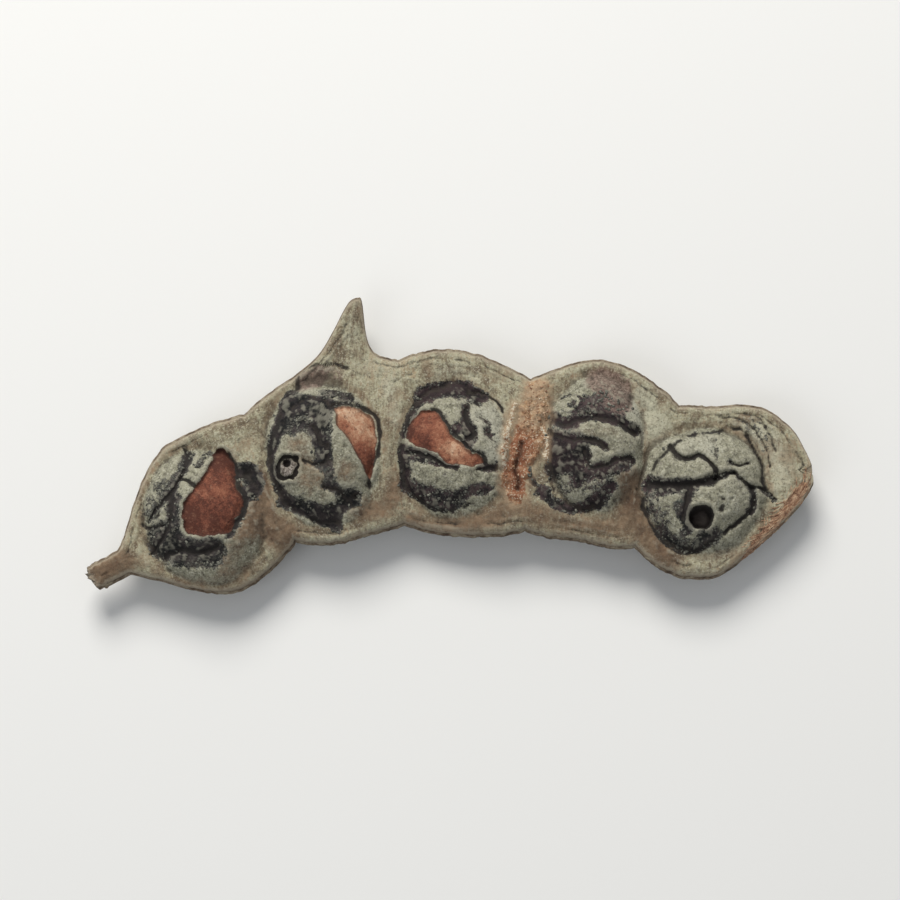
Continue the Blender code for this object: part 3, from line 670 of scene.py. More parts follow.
class UpperFace:
    """The upper face's height and colour masks, as each kind of mark is added to them."""

    def __init__(self, points):
        self.points = points
        self.slow = drift(points, 3.4, (11.0, 17.0))
        self.quick = drift(points, 0.9, (23.0, 29.0), 4)
        self.wandering = points + 0.22 * self.slow + 0.15 * self.quick
        self.blotches = cloudy(points, 1.1, 37.0, 5)
        self.grit = cloudy(points, 0.42, 41.0, 3)
        self.radius, self.chamber, self.height = chambers(points, self.slow, FACE_SWELL)
        self.felt = 1.0 - self.chamber

    def line_gap(self, line):
        return distance_to_line(self.wandering, rounded_line(line))

    def spot_gap(self, x, y):
        return np.hypot(self.wandering[:, 0] - x, self.wandering[:, 1] - y)

    def add_creases(self):
        """Creases between the lobes, dark lines round the foot of each chamber, and the mask of painted shade
        in them.
        """
        waver = 1.0 + 0.5 * self.slow[:, 0] + 0.35 * self.quick[:, 1]
        self.crease = np.zeros(len(self.points))
        self.crease_gap = np.full(len(self.points), np.inf)
        for half_width, depth, line in CREASES:
            gap = self.line_gap(line) / (half_width * waver)
            self.height -= depth * bell(gap)
            self.crease = np.maximum(self.crease, min(1.0, depth / FULLY_SHADED_CREASE_DEPTH) * bell(gap))
            self.crease_gap = np.minimum(self.crease_gap, gap * half_width)
        for half_width, line in FOOT_LINES:
            gap = self.line_gap(line)
            groove = bell(gap / half_width) * smooth_step(self.blotches, -0.7, 0.1)
            self.height -= FOOT_LINE_DEPTH * groove
            self.crease = np.maximum(self.crease, 0.9 * groove)
            self.crease_gap = np.minimum(self.crease_gap, gap)
        self.height -= LOBE_ROUNDING * self.chamber * bell(self.crease_gap / LOBE_ROUNDING_REACH)

    def add_wear(self):
        """Places over the seeds where the crust is worn through."""
        bared = soft_lines(self.wandering, WORN_PLACES)
        self.worn = 1.15 * bared + 0.5 * smooth_step(bared, 0.96, 1.0) + 0.12 * self.felt * self.blotches
        self.worn += self.chamber * (
            0.05 + 0.36 * self.blotches + 0.20 * self.grit + 0.10 * self.slow[:, 1]
            + 0.35 * bell(self.crease_gap / 0.5))
        self.crust_loss = CRUST_DEPTH * self.chamber * smooth_step(self.worn, *WORN_THROUGH)
        self.height += self.chamber * (0.10 * self.blotches + 0.07 * self.grit) - self.crust_loss

    def add_pulp(self):
        """Sunken patches of bare pulp, under a slightly raised edge of skin."""
        self.pulp = np.full(len(self.points), ABSENT)
        self.pulp_tone = np.zeros(len(self.points))
        for depth, warmth, patch in PULP_PATCHES:
            inside = depth_inside(self.wandering, rounded_line(patch + patch[:1], 2)[:-1])
            sunk = smooth_step(inside, -0.05, 0.22)
            self.height += sunk * (self.crust_loss - depth - 0.14 * self.blotches - 0.08 * self.grit)
            self.height += SKIN_EDGE_RISE * bell((inside + 0.22) / 0.2)
            self.pulp = np.maximum(self.pulp, inside)
            self.pulp_tone[depth_inside(self.points, patch) > -1.0] = warmth
        for reach, warmth, spot in PULP_TONES:
            self.pulp_tone += warmth * bell(np.hypot(*(self.points - spot).T) / reach)

    def add_wing_hollow(self):
        depth, patch = WING_HOLLOW
        self.height -= depth * smooth_step(depth_inside(self.wandering, patch), -0.2, 1.3)

    def add_gum(self):
        """The grainy crust of gum, its bright ridges, and the slit down its near end."""
        middle = np.array(GUM_LINE)
        width = np.interp(-self.points[:, 1], -middle[:, 1], middle[:, 2])
        self.gum = width - self.line_gap(middle[:, :2]) + 0.35 * self.blotches
        grains = smooth_step(crack_distance(self.points + 0.1 * self.quick, 0.62, 47.0), 0.05, 0.5)
        gum_height = GUM_DEPTH * (1.0 + grains) + 0.16 * self.blotches
        self.height += smooth_step(self.gum, -0.05, 0.45) * gum_height
        self.glint = np.zeros(len(self.points))
        for half_width, rise, line in GUM_RIDGES:
            gap = self.line_gap(line) / half_width
            self.glint = np.maximum(self.glint, bell(gap))
            self.height += (rise + 0.15 * self.grit) * bell(gap)
            self.gum = np.maximum(self.gum, 0.35 - 0.45 * gap)
        half_width, depth, line = GUM_SLIT
        gap = self.line_gap(line)
        self.slit = bell(gap / half_width)
        self.gum_red = bell(gap / GUM_RED_REACH)
        self.height -= depth * self.slit

    def add_holes(self):
        """The open hole, the ring round the plugged one, and the small pricks."""
        x, y, radius, flat_side, depth = ROUND_HOLE
        hole = np.minimum(radius - self.spot_gap(x, y), self.wandering[:, 1] - flat_side)
        self.height += HOLE_LIP * bell((hole + 0.25) / 0.22) - depth * smooth_step(hole, -0.05, 0.38)
        x, y, radius, half_width, depth = PLUGGED_HOLE
        gap = self.spot_gap(x, y) + 0.22 * self.quick[:, 0]
        ring = half_width - np.abs(gap - radius)
        self.height += HOLE_LIP * bell((gap - PLUG_LIP_RADIUS) / 0.22) - depth * smooth_step(ring, -0.1, 0.15)
        self.height -= PLUG_DEPTH * (1.0 - smooth_step(gap, 0.7, 0.95))
        self.plug = 1.0 - smooth_step(gap, 0.75, 0.95)
        x, y, radius, depth = PLUG_PRICK
        prick = radius - np.hypot(self.points[:, 0] - x, self.points[:, 1] - y)
        self.height -= depth * smooth_step(prick, -0.1, 0.15)
        self.hole = np.maximum(np.maximum(hole, ring), prick)
        for x, y, radius, depth in PRICKS:
            dent = bell(self.spot_gap(x, y) / radius)
            self.height -= depth * dent
            self.crease = np.maximum(self.crease, 0.7 * dent)

    def add_ring_mark(self):
        """A pale raised ring with a dark middle and a dark line round it."""
        x, y, radius = RING_MARK
        gap = self.spot_gap(x, y) - radius
        self.height += RING_RISE * bell(gap / 0.2)
        self.worn += 0.5 * bell((gap - 0.35) / 0.15) + 0.4 * bell((gap + 0.5) / 0.3) - 0.5 * bell(gap / 0.2)

    def add_felt(self, margin_distance, wrinkles):
        """The felt's blotches, wrinkles and margin folds, and fine grit over everything."""
        self.folds = margin_folds(self.points, margin_distance, self.slow, self.quick) * self.felt
        self.height += self.felt * (0.10 * self.blotches + 0.05 * wrinkles) - 0.15 * self.folds * self.felt
        self.height += 0.03 * self.grit

    def masks(self):
        """What colours the upper face, by name."""
        scraps = smooth_step(self.worn, 0.35, 0.70) * (1.0 - smooth_step(self.worn, 0.90, 1.15))
        scraps *= 1.0 - smooth_step(self.pulp, -0.25, 0.05)
        torn_gap = (self.line_gap(TORN_EDGE) + 0.25 * self.blotches) / TORN_HALF_WIDTH
        # Painted shade in a ring just outside each chamber's foot, added to the brown tint.
        foot_shade = 0.45 * bell((self.radius - 1.07) / 0.07)
        kept = ("chamber", "worn", "pulp", "pulp_tone", "gum", "gum_red", "slit", "glint", "hole", "plug")
        return {name: getattr(self, name) for name in kept} | {
            "scraps": scraps * (1.0 - smooth_step(self.hole, -0.3, 0.0)),
            "crystals": smooth_step(self.gum, 0.0, 0.5) * (1.0 - np.maximum(self.slit, 0.7 * self.gum_red)),
            "crease": np.clip(np.maximum(self.crease, 0.55 * self.folds), 0.0, 1.0),
            "torn": 1.0 - smooth_step(torn_gap, 0.55, 1.35),
            "pink": soft_lines(self.wandering, PINK_PLACES),
            "brown_and_shade": np.maximum(soft_lines(self.wandering, BROWN_AND_SHADE_PLACES, *TINT_REACH), foot_shade),
            "pale": soft_lines(self.wandering, PALE_PLACES, *TINT_REACH),
        }


def upper_relief(points, margin_distance, wrinkles):
    """The height of everything on the upper face, and the masks that colour it."""
    face = UpperFace(points)
    face.add_creases()
    face.add_wear()
    face.add_pulp()
    face.add_wing_hollow()
    face.add_gum()
    face.add_holes()
    face.add_ring_mark()
    face.add_felt(margin_distance, wrinkles)
    return face.height, face.masks()


UNDER_CELL = 4.2
CRACK_HALF_WIDTH = 0.07


def under_relief(points, margin_distance, wrinkles):
    """The underside has no marks of its own: puffy cells with cracks between them, worn in blotches."""
    slow = drift(points, 3.4, (61.0, 67.0))
    quick = drift(points, 0.9, (73.0, 79.0), 4)
    wandering = points + 0.9 * slow + 0.3 * quick
    blotches = cloudy(points, 1.2, 71.0, 5)
    radius, chamber, height = chambers(points, slow, UNDER_SWELL)
    cracks = bell(crack_distance(wandering, UNDER_CELL, 31.0) / CRACK_HALF_WIDTH)
    cracks *= smooth_step(slow[:, 1] + 0.4 * blotches, -0.35, 0.25)
    worn = chamber * (0.22 + 0.80 * blotches + 0.45 * slow[:, 0] + 0.3 * cracks)
    gone = smooth_step(worn, *WORN_THROUGH)
    folds = margin_folds(points, margin_distance, slow, quick) * (1.0 - chamber)
    height -= smooth_step(radius, 0.42, 0.62) * (0.3 * cracks - 0.08 * blotches + 0.14 * chamber * gone)
    height += (1.0 - chamber) * (0.05 * wrinkles - 0.10 * folds)
    masks = {name: np.full(len(points), ABSENT) for name in ("pulp", "gum", "hole")}
    for name in ("crystals", "pulp_tone", "gum_red", "slit", "glint", "plug", "torn", "pink", "pale"):
        masks[name] = np.zeros(len(points))
    return height, masks | {
        "scraps": smooth_step(worn, 0.35, 0.70), "chamber": chamber, "worn": worn,
        "crease": np.clip(np.maximum(cracks * (0.12 + 0.75 * chamber), 0.55 * folds), 0.0, 1.0),
        "brown_and_shade": soft_lines(wandering, BROWN_AND_SHADE_PLACES, *TINT_REACH),
    }


# The pod's skin. One closed sheet of felted skin over the whole pod, with the rim's two lips and
# the suture between them, a broken stalk stub, and the two valves just parted at the tip.
# The notch where the valves part: depth, y and half-width
TIP_NOTCH = (0.9, -3.05, 0.26)
STUB_KNOBS = 0.35
SCRAPS_FROM_HEIGHT = 0.3
WRINKLE_SIZE = (0.8, 3.0)
CAVITY_SMOOTHINGS = 6
along = np.concatenate([[0.0], np.cumsum(np.hypot(*np.diff(middles, axis=0).T))])


def face_grid(steps, side):
    """The points and masks of the upper face (side 1) or of the underside (side -1)."""
    points = grid_over(steps)
    ring_places = np.repeat(places, steps + 1)
    margin_distance = distance_to_line(points, outline[::2], closed=True)
    on_margin = (np.arange(len(points)) % (steps + 1)) % steps == 0
    margin_distance[on_margin] = 0.0
    from_middle = distance_to_line(points, middles[::4])
    flow_along = np.repeat(along, steps + 1)
    flow_across = from_middle * np.sign(points[:, 1] - np.repeat(middles[:, 1], steps + 1))
    wrinkles = cloudy(np.column_stack([flow_along, flow_across]) / WRINKLE_SIZE, 1.0, 89.0 * side)
    make_relief = upper_relief if side > 0 else under_relief
    relief, masks = make_relief(points, margin_distance, wrinkles)
    half = plain_half_thickness(ring_places, margin_distance, from_middle)
    half += smooth_step(margin_distance, 0.1, 1.2) * relief
    height = np.maximum(sheet_height(points, ring_places, from_middle) + side * half, 0.0)
    masks["scraps"] = masks["scraps"] * (height > SCRAPS_FROM_HEIGHT)
    masks["edge"] = margin_distance
    masks["flow_along"] = flow_along
    masks["flow_across"] = flow_across
    shape = (len(places), steps + 1)
    masks["cavity"] = cavity(half.reshape(shape)).reshape(-1)
    return np.column_stack([points, height]).reshape(*shape, 3), {
        name: values.reshape(shape) for name, values in masks.items()
    }


def cavity(relief):
    """How far each point lies below (above 0) or above (below 0) the points round it, in mm."""
    smooth = relief
    for _ in range(CAVITY_SMOOTHINGS):
        padded = np.pad(smooth, 1, mode="edge")
        smooth = (padded[:-2, 1:-1] + padded[2:, 1:-1] + padded[1:-1, :-2] + padded[1:-1, 2:]) / 4.0
    return smooth - relief


def rim_grid(one_edge, other_edge, ways):
    """The two lips of a margin with the suture's groove between them, ring by ring."""
    part = np.arange(1, RIM_STEPS) / RIM_STEPS
    lips = RIM_LIP * np.sin(np.pi * part) ** 0.6
    groove = SUTURE_GROOVE * np.exp(-(((part - 0.5) / 0.1) ** 2))
    grid = one_edge[:, None] + (other_edge - one_edge)[:, None] * part[None, :, None]
    grid[:, :, :2] += ways[:, None] * (lips - groove)[None, :, None]
    return grid, np.broadcast_to(groove / SUTURE_GROOVE, grid.shape[:2])


def rim_masks(face_masks, edge, groove):
    masks = {name: np.repeat(values[:, edge:edge + 1], groove.shape[1], axis=1)
             for name, values in face_masks.items()}
    masks["crease"] = np.maximum(masks["crease"], 0.9 * groove)
    masks["edge"] = np.full(groove.shape, -1.0)
    return masks


top, top_masks = face_grid(FACE_STEPS, 1)
under, under_masks = face_grid(UNDER_STEPS, -1)
near_rim, near_groove = rim_grid(top[:, -1], under[:, -1], lower_ways)
far_rim, far_groove = rim_grid(under[:, 0], top[:, 0], upper_ways)
rings = np.concatenate([top, near_rim, under[:, ::-1], far_rim], axis=1)
near_masks = rim_masks(top_masks, FACE_STEPS, near_groove)
far_masks = rim_masks(top_masks, 0, far_groove)
masks = {
    name: np.concatenate(
        [top_masks[name], near_masks[name], under_masks[name][:, ::-1], far_masks[name]], axis=1)
    for name in top_masks
}
knobs = cloudy(rings.reshape(-1, 3)[:, :2], 0.8, 95.0, 3).reshape(rings.shape[:2])
stub = 1.0 - smooth_step(places, 0.15, 0.8)
rings[:, :, 1] += STUB_KNOBS * stub[:, None] * knobs
break_face = 1.0 - smooth_step(places, 0.0, 0.3)
rings[:, :, 0] += 2.0 * STUB_KNOBS * break_face[:, None] * np.roll(knobs, 40, axis=1)
masks["crease"] = np.maximum(masks["crease"], 0.8 * (1.0 - smooth_step(places, 0.0, 0.05))[:, None])
notch_depth, notch_y, notch_width = TIP_NOTCH
pull = np.clip((places - (LAST - 0.4)) / 0.4, 0.0, 1.0)[:, None] ** 2
rings[:, :, 0] -= notch_depth * pull * np.exp(-(((rings[:, :, 1] - notch_y) / notch_width) ** 2))

CAP_SCALES = (0.8, 0.5, 0.2)


def end_cap(ring, push):
    """Shrinking rings that close an end of the pod in a blunt, slightly rounded face."""
    middle = ring.mean(axis=0)
    return [middle + (ring - middle) * scale + np.array(push) * (1.0 - scale) for scale in CAP_SCALES]


stalk_cap = end_cap(rings[0], (-0.12, -0.08, 0.0))[::-1]
tip_cap = end_cap(rings[-1], (0.25, 0.0, 0.0))
all_rings = np.concatenate([stalk_cap, rings, tip_cap])
ends = [all_rings[0].mean(axis=0), all_rings[-1].mean(axis=0)]
vertices = np.concatenate([all_rings.reshape(-1, 3), ends])
box_low, box_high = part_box("pod")
shift = 0.5 * (vertices[:, :2].min(axis=0) + vertices[:, :2].max(axis=0))
shift -= 0.5 * np.array((box_low + box_high)[:2]) / METRES_PER_MM
vertices[:, :2] -= shift

ring_size = rings.shape[1]
index = np.arange(len(all_rings) * ring_size).reshape(len(all_rings), ring_size)
here, there = index[:-1], index[1:]
quads = np.stack([here, np.roll(here, -1, axis=1), np.roll(there, -1, axis=1), there], axis=-1)
faces = quads.reshape(-1, 4).tolist()
first_end, last_end = len(vertices) - 2, len(vertices) - 1
for step in range(ring_size):
    following = (step + 1) % ring_size
    faces.append((int(index[0, following]), int(index[0, step]), first_end))
    faces.append((int(index[-1, step]), int(index[-1, following]), last_end))

skin_mesh = bpy.data.meshes.new("pod_skin")
skin_mesh.from_pydata((vertices * METRES_PER_MM).tolist(), [], faces)
skin_mesh.shade_smooth()
for name, values in masks.items():
    spread = np.pad(values, ((len(stalk_cap), len(tip_cap)), (0, 0)), mode="edge")
    column = np.concatenate([spread.reshape(-1), [values[0].mean(), values[-1].mean()]])
    skin_mesh.attributes.new(name, "FLOAT", "POINT").data.foreach_set("value", column.astype(np.float32))
skin = bpy.data.objects.new("pod_skin", skin_mesh)
bpy.context.scene.collection.objects.link(skin)


class Nodes:
    """Adds nodes to one node tree. An input may be a value or another node's socket."""

    def __init__(self, tree):
        self.tree = tree

    def add(self, kind, inputs=None, **settings):
        node = self.tree.nodes.new(kind)
        for name, value in settings.items():
            setattr(node, name, value)
        for name, value in (inputs or {}).items():
            if isinstance(value, bpy.types.NodeSocket):
                self.tree.links.new(value, node.inputs[name])
            else:
                node.inputs[name].default_value = value
        return node

    def maths(self, operation, one, other=0.0):
        return self.add("ShaderNodeMath", {0: one, 1: other}, operation=operation).outputs[0]


class Surface(Nodes):
    """Nodes for a material, placed by the object's own coordinates and the skin's masks."""

    def __init__(self, tree):
        super().__init__(tree)
        self.object_place = self.add("ShaderNodeTexCoord").outputs["Object"]

    def mask(self, name):
        return self.add("ShaderNodeAttribute", attribute_name=name).outputs["Fac"]

    def blotches(self, size_mm, detail=3.0, roughness=0.5, seed=0.0, place=None, unit=METRES_PER_MM):
        inputs = {
            "Vector": place or self.object_place, "Scale": 1.0 / (size_mm * unit), "Detail": detail,
            "Roughness": roughness, "W": seed,
        }
        return self.add("ShaderNodeTexNoise", inputs, noise_dimensions="4D").outputs["Fac"]

    def cells(self, size_mm, feature="F1"):
        scale = 1.0 / (size_mm * METRES_PER_MM)
        inputs = {"Vector": self.object_place, "Scale": scale}
        return self.add("ShaderNodeTexVoronoi", inputs, feature=feature).outputs["Distance"]

    def stirred(self, value, *noises):
        """A value with noise added: pairs of a noise about 0.5 and how much of it."""
        for texture, amount in noises:
            centred = self.maths("SUBTRACT", texture, 0.5)
            value = self.maths("ADD", value, self.maths("MULTIPLY", centred, amount))
        return value

    def between(self, value, low, high, to_low=0.0, to_high=1.0):
        inputs = {"Value": value, "From Min": low, "From Max": high, "To Min": to_low, "To Max": to_high}
        return self.add("ShaderNodeMapRange", inputs, interpolation_type="SMOOTHSTEP").outputs["Result"]

    def mixed(self, share, one, other, blend="MIX"):
        one, other = ((*c, 1.0) if isinstance(c, tuple) else c for c in (one, other))
        node = self.add("ShaderNodeMix", {0: share, 6: one, 7: other}, data_type="RGBA", blend_type=blend)
        return node.outputs[2]

    def flecked(self, colour, *flecks):
        """A colour with flecks on it: each a noise, its start, where it is full, its share and its tint."""
        for texture, start, full, share, tint in flecks:
            colour = self.mixed(self.between(texture, start, full, 0.0, share), colour, tint)
        return colour

    def ramp(self, value, stops):
        node = self.add("ShaderNodeValToRGB", {"Fac": value})
        elements = node.color_ramp.elements
        while len(elements) < len(stops):
            elements.new(0.5)
        for element, (place, colour) in zip(elements, stops):
            element.position = place
            element.color = (*colour, 1.0)
        return node.outputs["Color"]


def new_material(name):
    material = bpy.data.materials.new(name)
    material.use_nodes = True
    return material, Surface(material.node_tree), material.node_tree.nodes["Principled BSDF"]


skin_material, n, shader = new_material("pod_skin")
wide = n.blotches(5.0, 3.0, 0.55, 1.0)
middling = n.blotches(1.3, 4.0, 0.6, 2.0)
small = n.blotches(0.38, 4.0, 0.65, 3.0)
specks = n.blotches(0.20, 2.0, 0.6, 51.0)
tiny = n.blotches(0.12, 3.0, 0.65, 4.0)
flow = n.add("ShaderNodeCombineXYZ", {
    "X": n.mask("flow_along"), "Y": n.maths("MULTIPLY", n.mask("flow_across"), 0.16),
}).outputs["Vector"]
streaks = n.blotches(0.30, 4.0, 0.6, 5.0, flow, 1.0)

# Felt: olive, khaki and tan blotches, streaked across the pod, with fine dark and pale hairs
felt_tone = n.stirred(wide, (middling, 1.3), (streaks, 0.8))
felt = n.ramp(felt_tone, [
    (0.28, (0.160, 0.120, 0.078)), (0.40, (0.245, 0.208, 0.136)), (0.50, (0.320, 0.290, 0.194)),
    (0.60, (0.400, 0.382, 0.268)), (0.72, (0.350, 0.280, 0.180)),
])
pale_field = n.stirred(n.mask("pale"), (middling, 0.9), (streaks, 0.8), (small, 0.6))
pale_share = n.between(pale_field, 0.25, 0.95, 0.0, 0.8)
felt = n.mixed(pale_share, felt, (0.50, 0.485, 0.365))
felt = n.flecked(
    felt,
    (small, 0.46, 0.72, 0.62, (0.125, 0.108, 0.080)),
    (tiny, 0.50, 0.66, 0.45, (0.40, 0.385, 0.30)),
    (specks, 0.55, 0.64, 0.55, (0.54, 0.52, 0.40)),
    (specks, 0.43, 0.35, 0.60, (0.085, 0.070, 0.050)),
)
# Brown: the skin's own brown, with painted shade along the lower margins, in the necks and round each
# chamber's foot.
brown_and_shade_share = n.between(n.stirred(n.mask("brown_and_shade"), (middling, 0.8), (small, 0.5)), 0.15, 0.85, 0.0, 0.85)
brown_and_shade = n.ramp(middling, [(0.35, (0.085, 0.050, 0.033)), (0.65, (0.215, 0.138, 0.085))])
tan_share = n.between(n.blotches(2.4, 4.0, 0.6, 52.0), 0.50, 0.66, 0.0, 0.55)
tan = n.ramp(small, [(0.36, (0.150, 0.104, 0.066)), (0.62, (0.345, 0.255, 0.165))])
felt = n.mixed(tan_share, felt, tan)

# Crust over the seeds: grey-green scraps, crazed and gritty
crust = n.ramp(n.blotches(0.6, 4.0, 0.6, 6.0), [
    (0.30, (0.135, 0.125, 0.090)), (0.42, (0.230, 0.222, 0.160)), (0.56, (0.305, 0.294, 0.215)),
    (0.74, (0.400, 0.388, 0.300)),
])
crust = n.mixed(pale_share, crust, (0.46, 0.45, 0.36))
crust = n.flecked(
    crust,
    (small, 0.52, 0.70, 0.60, (0.100, 0.090, 0.072)),
    (specks, 0.55, 0.63, 0.60, (0.50, 0.49, 0.40)),
    (specks, 0.43, 0.36, 0.65, (0.065, 0.060, 0.048)),
    (n.cells(0.9, "DISTANCE_TO_EDGE"), 0.07, 0.0, 0.30, (0.06, 0.055, 0.045)),
)
ground = n.mixed(n.between(n.stirred(n.mask("chamber"), (middling, 0.8)), 0.2, 0.8), felt, crust)
ground = n.mixed(brown_and_shade_share, ground, brown_and_shade)

# Charcoal where the crust has worn off: plum black on the middle beads and greenish black on the
# others, with grains of crust left on it
PLUM_MIDDLE = 0.0075
PLUM_REACH = 0.0125
char = n.ramp(n.blotches(1.7, 4.0, 0.65, 8.0), [
    (0.32, (0.007, 0.006, 0.006)), (0.44, (0.015, 0.012, 0.013)), (0.52, (0.049, 0.033, 0.034)),
    (0.60, (0.073, 0.049, 0.047)), (0.72, (0.052, 0.054, 0.053)),
])
pod_x = n.add("ShaderNodeSeparateXYZ", {"Vector": n.object_place}).outputs["X"]
from_plum = n.maths("ABSOLUTE", n.maths("SUBTRACT", pod_x, PLUM_MIDDLE))
char = n.mixed(n.between(from_plum, PLUM_REACH, 1.25 * PLUM_REACH), char, (0.92, 1.16, 1.08), "MULTIPLY")
char = n.mixed(n.between(n.mask("worn"), 0.95, 1.25), char, (0.50, 0.46, 0.50), "MULTIPLY")
grit = n.stirred(small, (specks, 0.9), (tiny, 0.5))
grains_left = n.between(n.mask("worn"), 1.10, 0.58, 0.07, 1.0)
for texture, start, full, share, tint in (
    (grit, 0.50, 0.66, 0.75, (0.105, 0.105, 0.090)),
    (specks, 0.54, 0.64, 0.70, (0.225, 0.225, 0.190)),
):
    char = n.mixed(n.maths("MULTIPLY", n.between(texture, start, full, 0.0, share), grains_left), char, tint)
worn_field = n.stirred(n.mask("worn"), (middling, 0.6), (small, 1.6), (tiny, 1.0))
worn_mask = n.between(worn_field, 0.34, 0.68)
colour = n.mixed(worn_mask, ground, char)
pink_share = n.between(n.stirred(n.mask("pink"), (middling, 0.6), (small, 0.8)), 0.2, 0.8, 0.0, 0.8)
pink = n.ramp(grit, [(0.36, (0.085, 0.052, 0.046)), (0.62, (0.245, 0.172, 0.142))])
colour = n.mixed(pink_share, colour, pink)

# Painted shade in the hollows of the skin's relief, and what stands out paler, partly rubbed and partly a
# painted highlight
cavity_mask = n.mask("cavity")
colour = n.flecked(
    colour,
    (n.stirred(cavity_mask, (small, 0.08)), 0.01, 0.13, 0.70, (0.045, 0.036, 0.028)),
    (n.stirred(cavity_mask, (small, 0.06)), -0.02, -0.10, 0.32, (0.44, 0.42, 0.33)),
)

# Painted shade in the creases, the grooves round the chambers, the margin folds, the suture, the underside's
# cracks and the pits, and painted shadow lines where the skin's edge overhangs the pulp
crease_mask = n.between(n.stirred(n.mask("crease"), (small, 0.7), (tiny, 0.3)), 0.26, 0.74)
colour = n.mixed(n.maths("MULTIPLY", crease_mask, 0.9), colour, (0.022, 0.019, 0.017))

# Pulp: granular, from orange to dark red, darker near the skin's edge with painted shadow under it
pulp_mask = n.between(n.stirred(n.mask("pulp"), (small, 0.35), (tiny, 0.2)), -0.02, 0.08)
pulp_tone = n.stirred(n.mask("pulp_tone"), (middling, 1.1), (small, 0.8), (tiny, 0.9))
pulp = n.ramp(pulp_tone, [
    (0.00, (0.085, 0.028, 0.018)), (0.24, (0.190, 0.064, 0.038)), (0.50, (0.285, 0.112, 0.064)),
    (0.80, (0.420, 0.225, 0.135)), (1.00, (0.55, 0.37, 0.25)),
])
pale_grains = n.maths("MULTIPLY", n.between(n.blotches(0.42, 3.0, 0.6, 10.0), 0.54, 0.68, 0.0, 0.50),
                      n.between(n.mask("pulp_tone"), 0.10, 0.60, 0.35, 1.0))
pulp = n.mixed(pale_grains, pulp, (0.50, 0.27, 0.165))
pulp = n.flecked(
    pulp,
    (n.blotches(0.34, 3.0, 0.6, 9.0), 0.54, 0.68, 0.60, (0.085, 0.034, 0.024)),
    (n.mask("pulp"), 0.40, 0.02, 0.7, (0.040, 0.020, 0.015)),
)
colour = n.mixed(pulp_mask, colour, pulp)

# Gum: orange-brown grains with pale crystals, dark red down the slit
gum_mask = n.between(n.stirred(n.mask("gum"), (small, 1.2), (tiny, 0.6)), -0.05, 0.20)
gum = n.ramp(n.stirred(n.blotches(0.55, 4.0, 0.65, 12.0), (n.cells(0.42), -0.25)), [
    (0.34, (0.130, 0.052, 0.026)), (0.46, (0.290, 0.160, 0.082)), (0.58, (0.430, 0.275, 0.155)),
    (0.72, (0.60, 0.46, 0.31)),
])
red_share = n.maths("MULTIPLY", n.mask("gum_red"), n.between(small, 0.40, 0.66, 1.0, 0.6))
gum = n.mixed(red_share, gum, (0.225, 0.064, 0.028))
gum = n.mixed(n.between(specks, 0.55, 0.64, 0.0, 0.7), gum, (0.62, 0.53, 0.40))
away_from_red = n.between(n.mask("gum_red"), 0.5, 0.1)
tan_gum_share = n.maths("MULTIPLY", n.between(middling, 0.44, 0.58, 0.0, 0.7), away_from_red)
gum = n.mixed(tan_gum_share, gum, (0.375, 0.275, 0.180))
gum_stain = n.between(n.stirred(n.mask("gum"), (middling, 1.0), (small, 0.8)), -0.9, 0.1, 0.0, 0.6)
colour = n.mixed(gum_stain, colour, (0.37, 0.265, 0.170))
gum = n.mixed(n.maths("MULTIPLY", n.mask("slit"), 0.95), gum, (0.055, 0.018, 0.010))
colour = n.mixed(n.maths("MULTIPLY", gum_mask, 0.9), colour, gum)
# Pale cream along the gum's ridges: partly their own pale crystals, partly painted glints.
glint_share = n.between(n.stirred(n.mask("glint"), (specks, 3.0), (small, 1.0)), 0.65, 1.05, 0.0, 0.85)
colour = n.mixed(glint_share, colour, (0.64, 0.59, 0.46))

# Torn suture fibres by the tip, the suture itself, and the thin pale margin, a painted highlight along the
# edge
TORN_WAY = math.radians(49.6)
turned_place = n.add("ShaderNodeMapping", {"Vector": n.object_place, "Rotation": (0.0, 0.0, -TORN_WAY)})
torn_place = n.add("ShaderNodeMapping", {
    "Vector": turned_place.outputs["Vector"], "Scale": (0.14, 1.0, 1.0)}).outputs["Vector"]
strands = n.blotches(0.26, 4.0, 0.6, 14.0, torn_place)
torn_mask = n.between(n.stirred(n.mask("torn"), (strands, 1.4), (small, 0.5)), 0.35, 0.65)
torn = n.ramp(strands, [
    (0.36, (0.070, 0.030, 0.019)), (0.48, (0.250, 0.132, 0.074)), (0.62, (0.48, 0.32, 0.20)),
])
colour = n.mixed(torn_mask, colour, torn)
edge = n.mask("edge")
layer_place = n.add("ShaderNodeMapping", {
    "Vector": n.object_place, "Scale": (0.3, 0.3, 1.6)}).outputs["Vector"]
layers = n.stirred(n.blotches(0.40, 4.0, 0.6, 16.0, layer_place), (small, 0.7))
suture = n.ramp(layers, [
    (0.34, (0.070, 0.048, 0.034)), (0.50, (0.190, 0.145, 0.100)), (0.64, (0.330, 0.285, 0.205))])
colour = n.mixed(n.between(edge, 0.0, -0.5, 0.0, 0.9), colour, suture)
margin_highlight_share = n.between(n.stirred(edge, (small, 0.6), (middling, 0.5)), 0.34, 0.06, 0.0, 0.5)
colour = n.mixed(n.maths("MULTIPLY", margin_highlight_share, n.between(edge, -0.4, 0.0)), colour, (0.46, 0.395, 0.30))

# Beetle holes: the plug in its own colours, and painted shade inside the holes, darkest at their edges
hole = n.mask("hole")
hole_mask = n.between(n.stirred(hole, (small, 0.25)), -0.03, 0.07)
plug = n.mixed(n.between(grit, 0.40, 0.64), (0.075, 0.055, 0.048), (0.33, 0.29, 0.26))
colour = n.mixed(n.maths("MULTIPLY", n.mask("plug"), 0.85), colour, plug)
hole_floor = n.between(n.stirred(hole, (small, 0.6)), 0.35, 0.75)
hole_shade_colour = n.mixed(hole_floor, (0.012, 0.009, 0.008), (0.044, 0.034, 0.031))
colour = n.mixed(n.maths("MULTIPLY", hole_mask, 0.95), colour, hole_shade_colour)

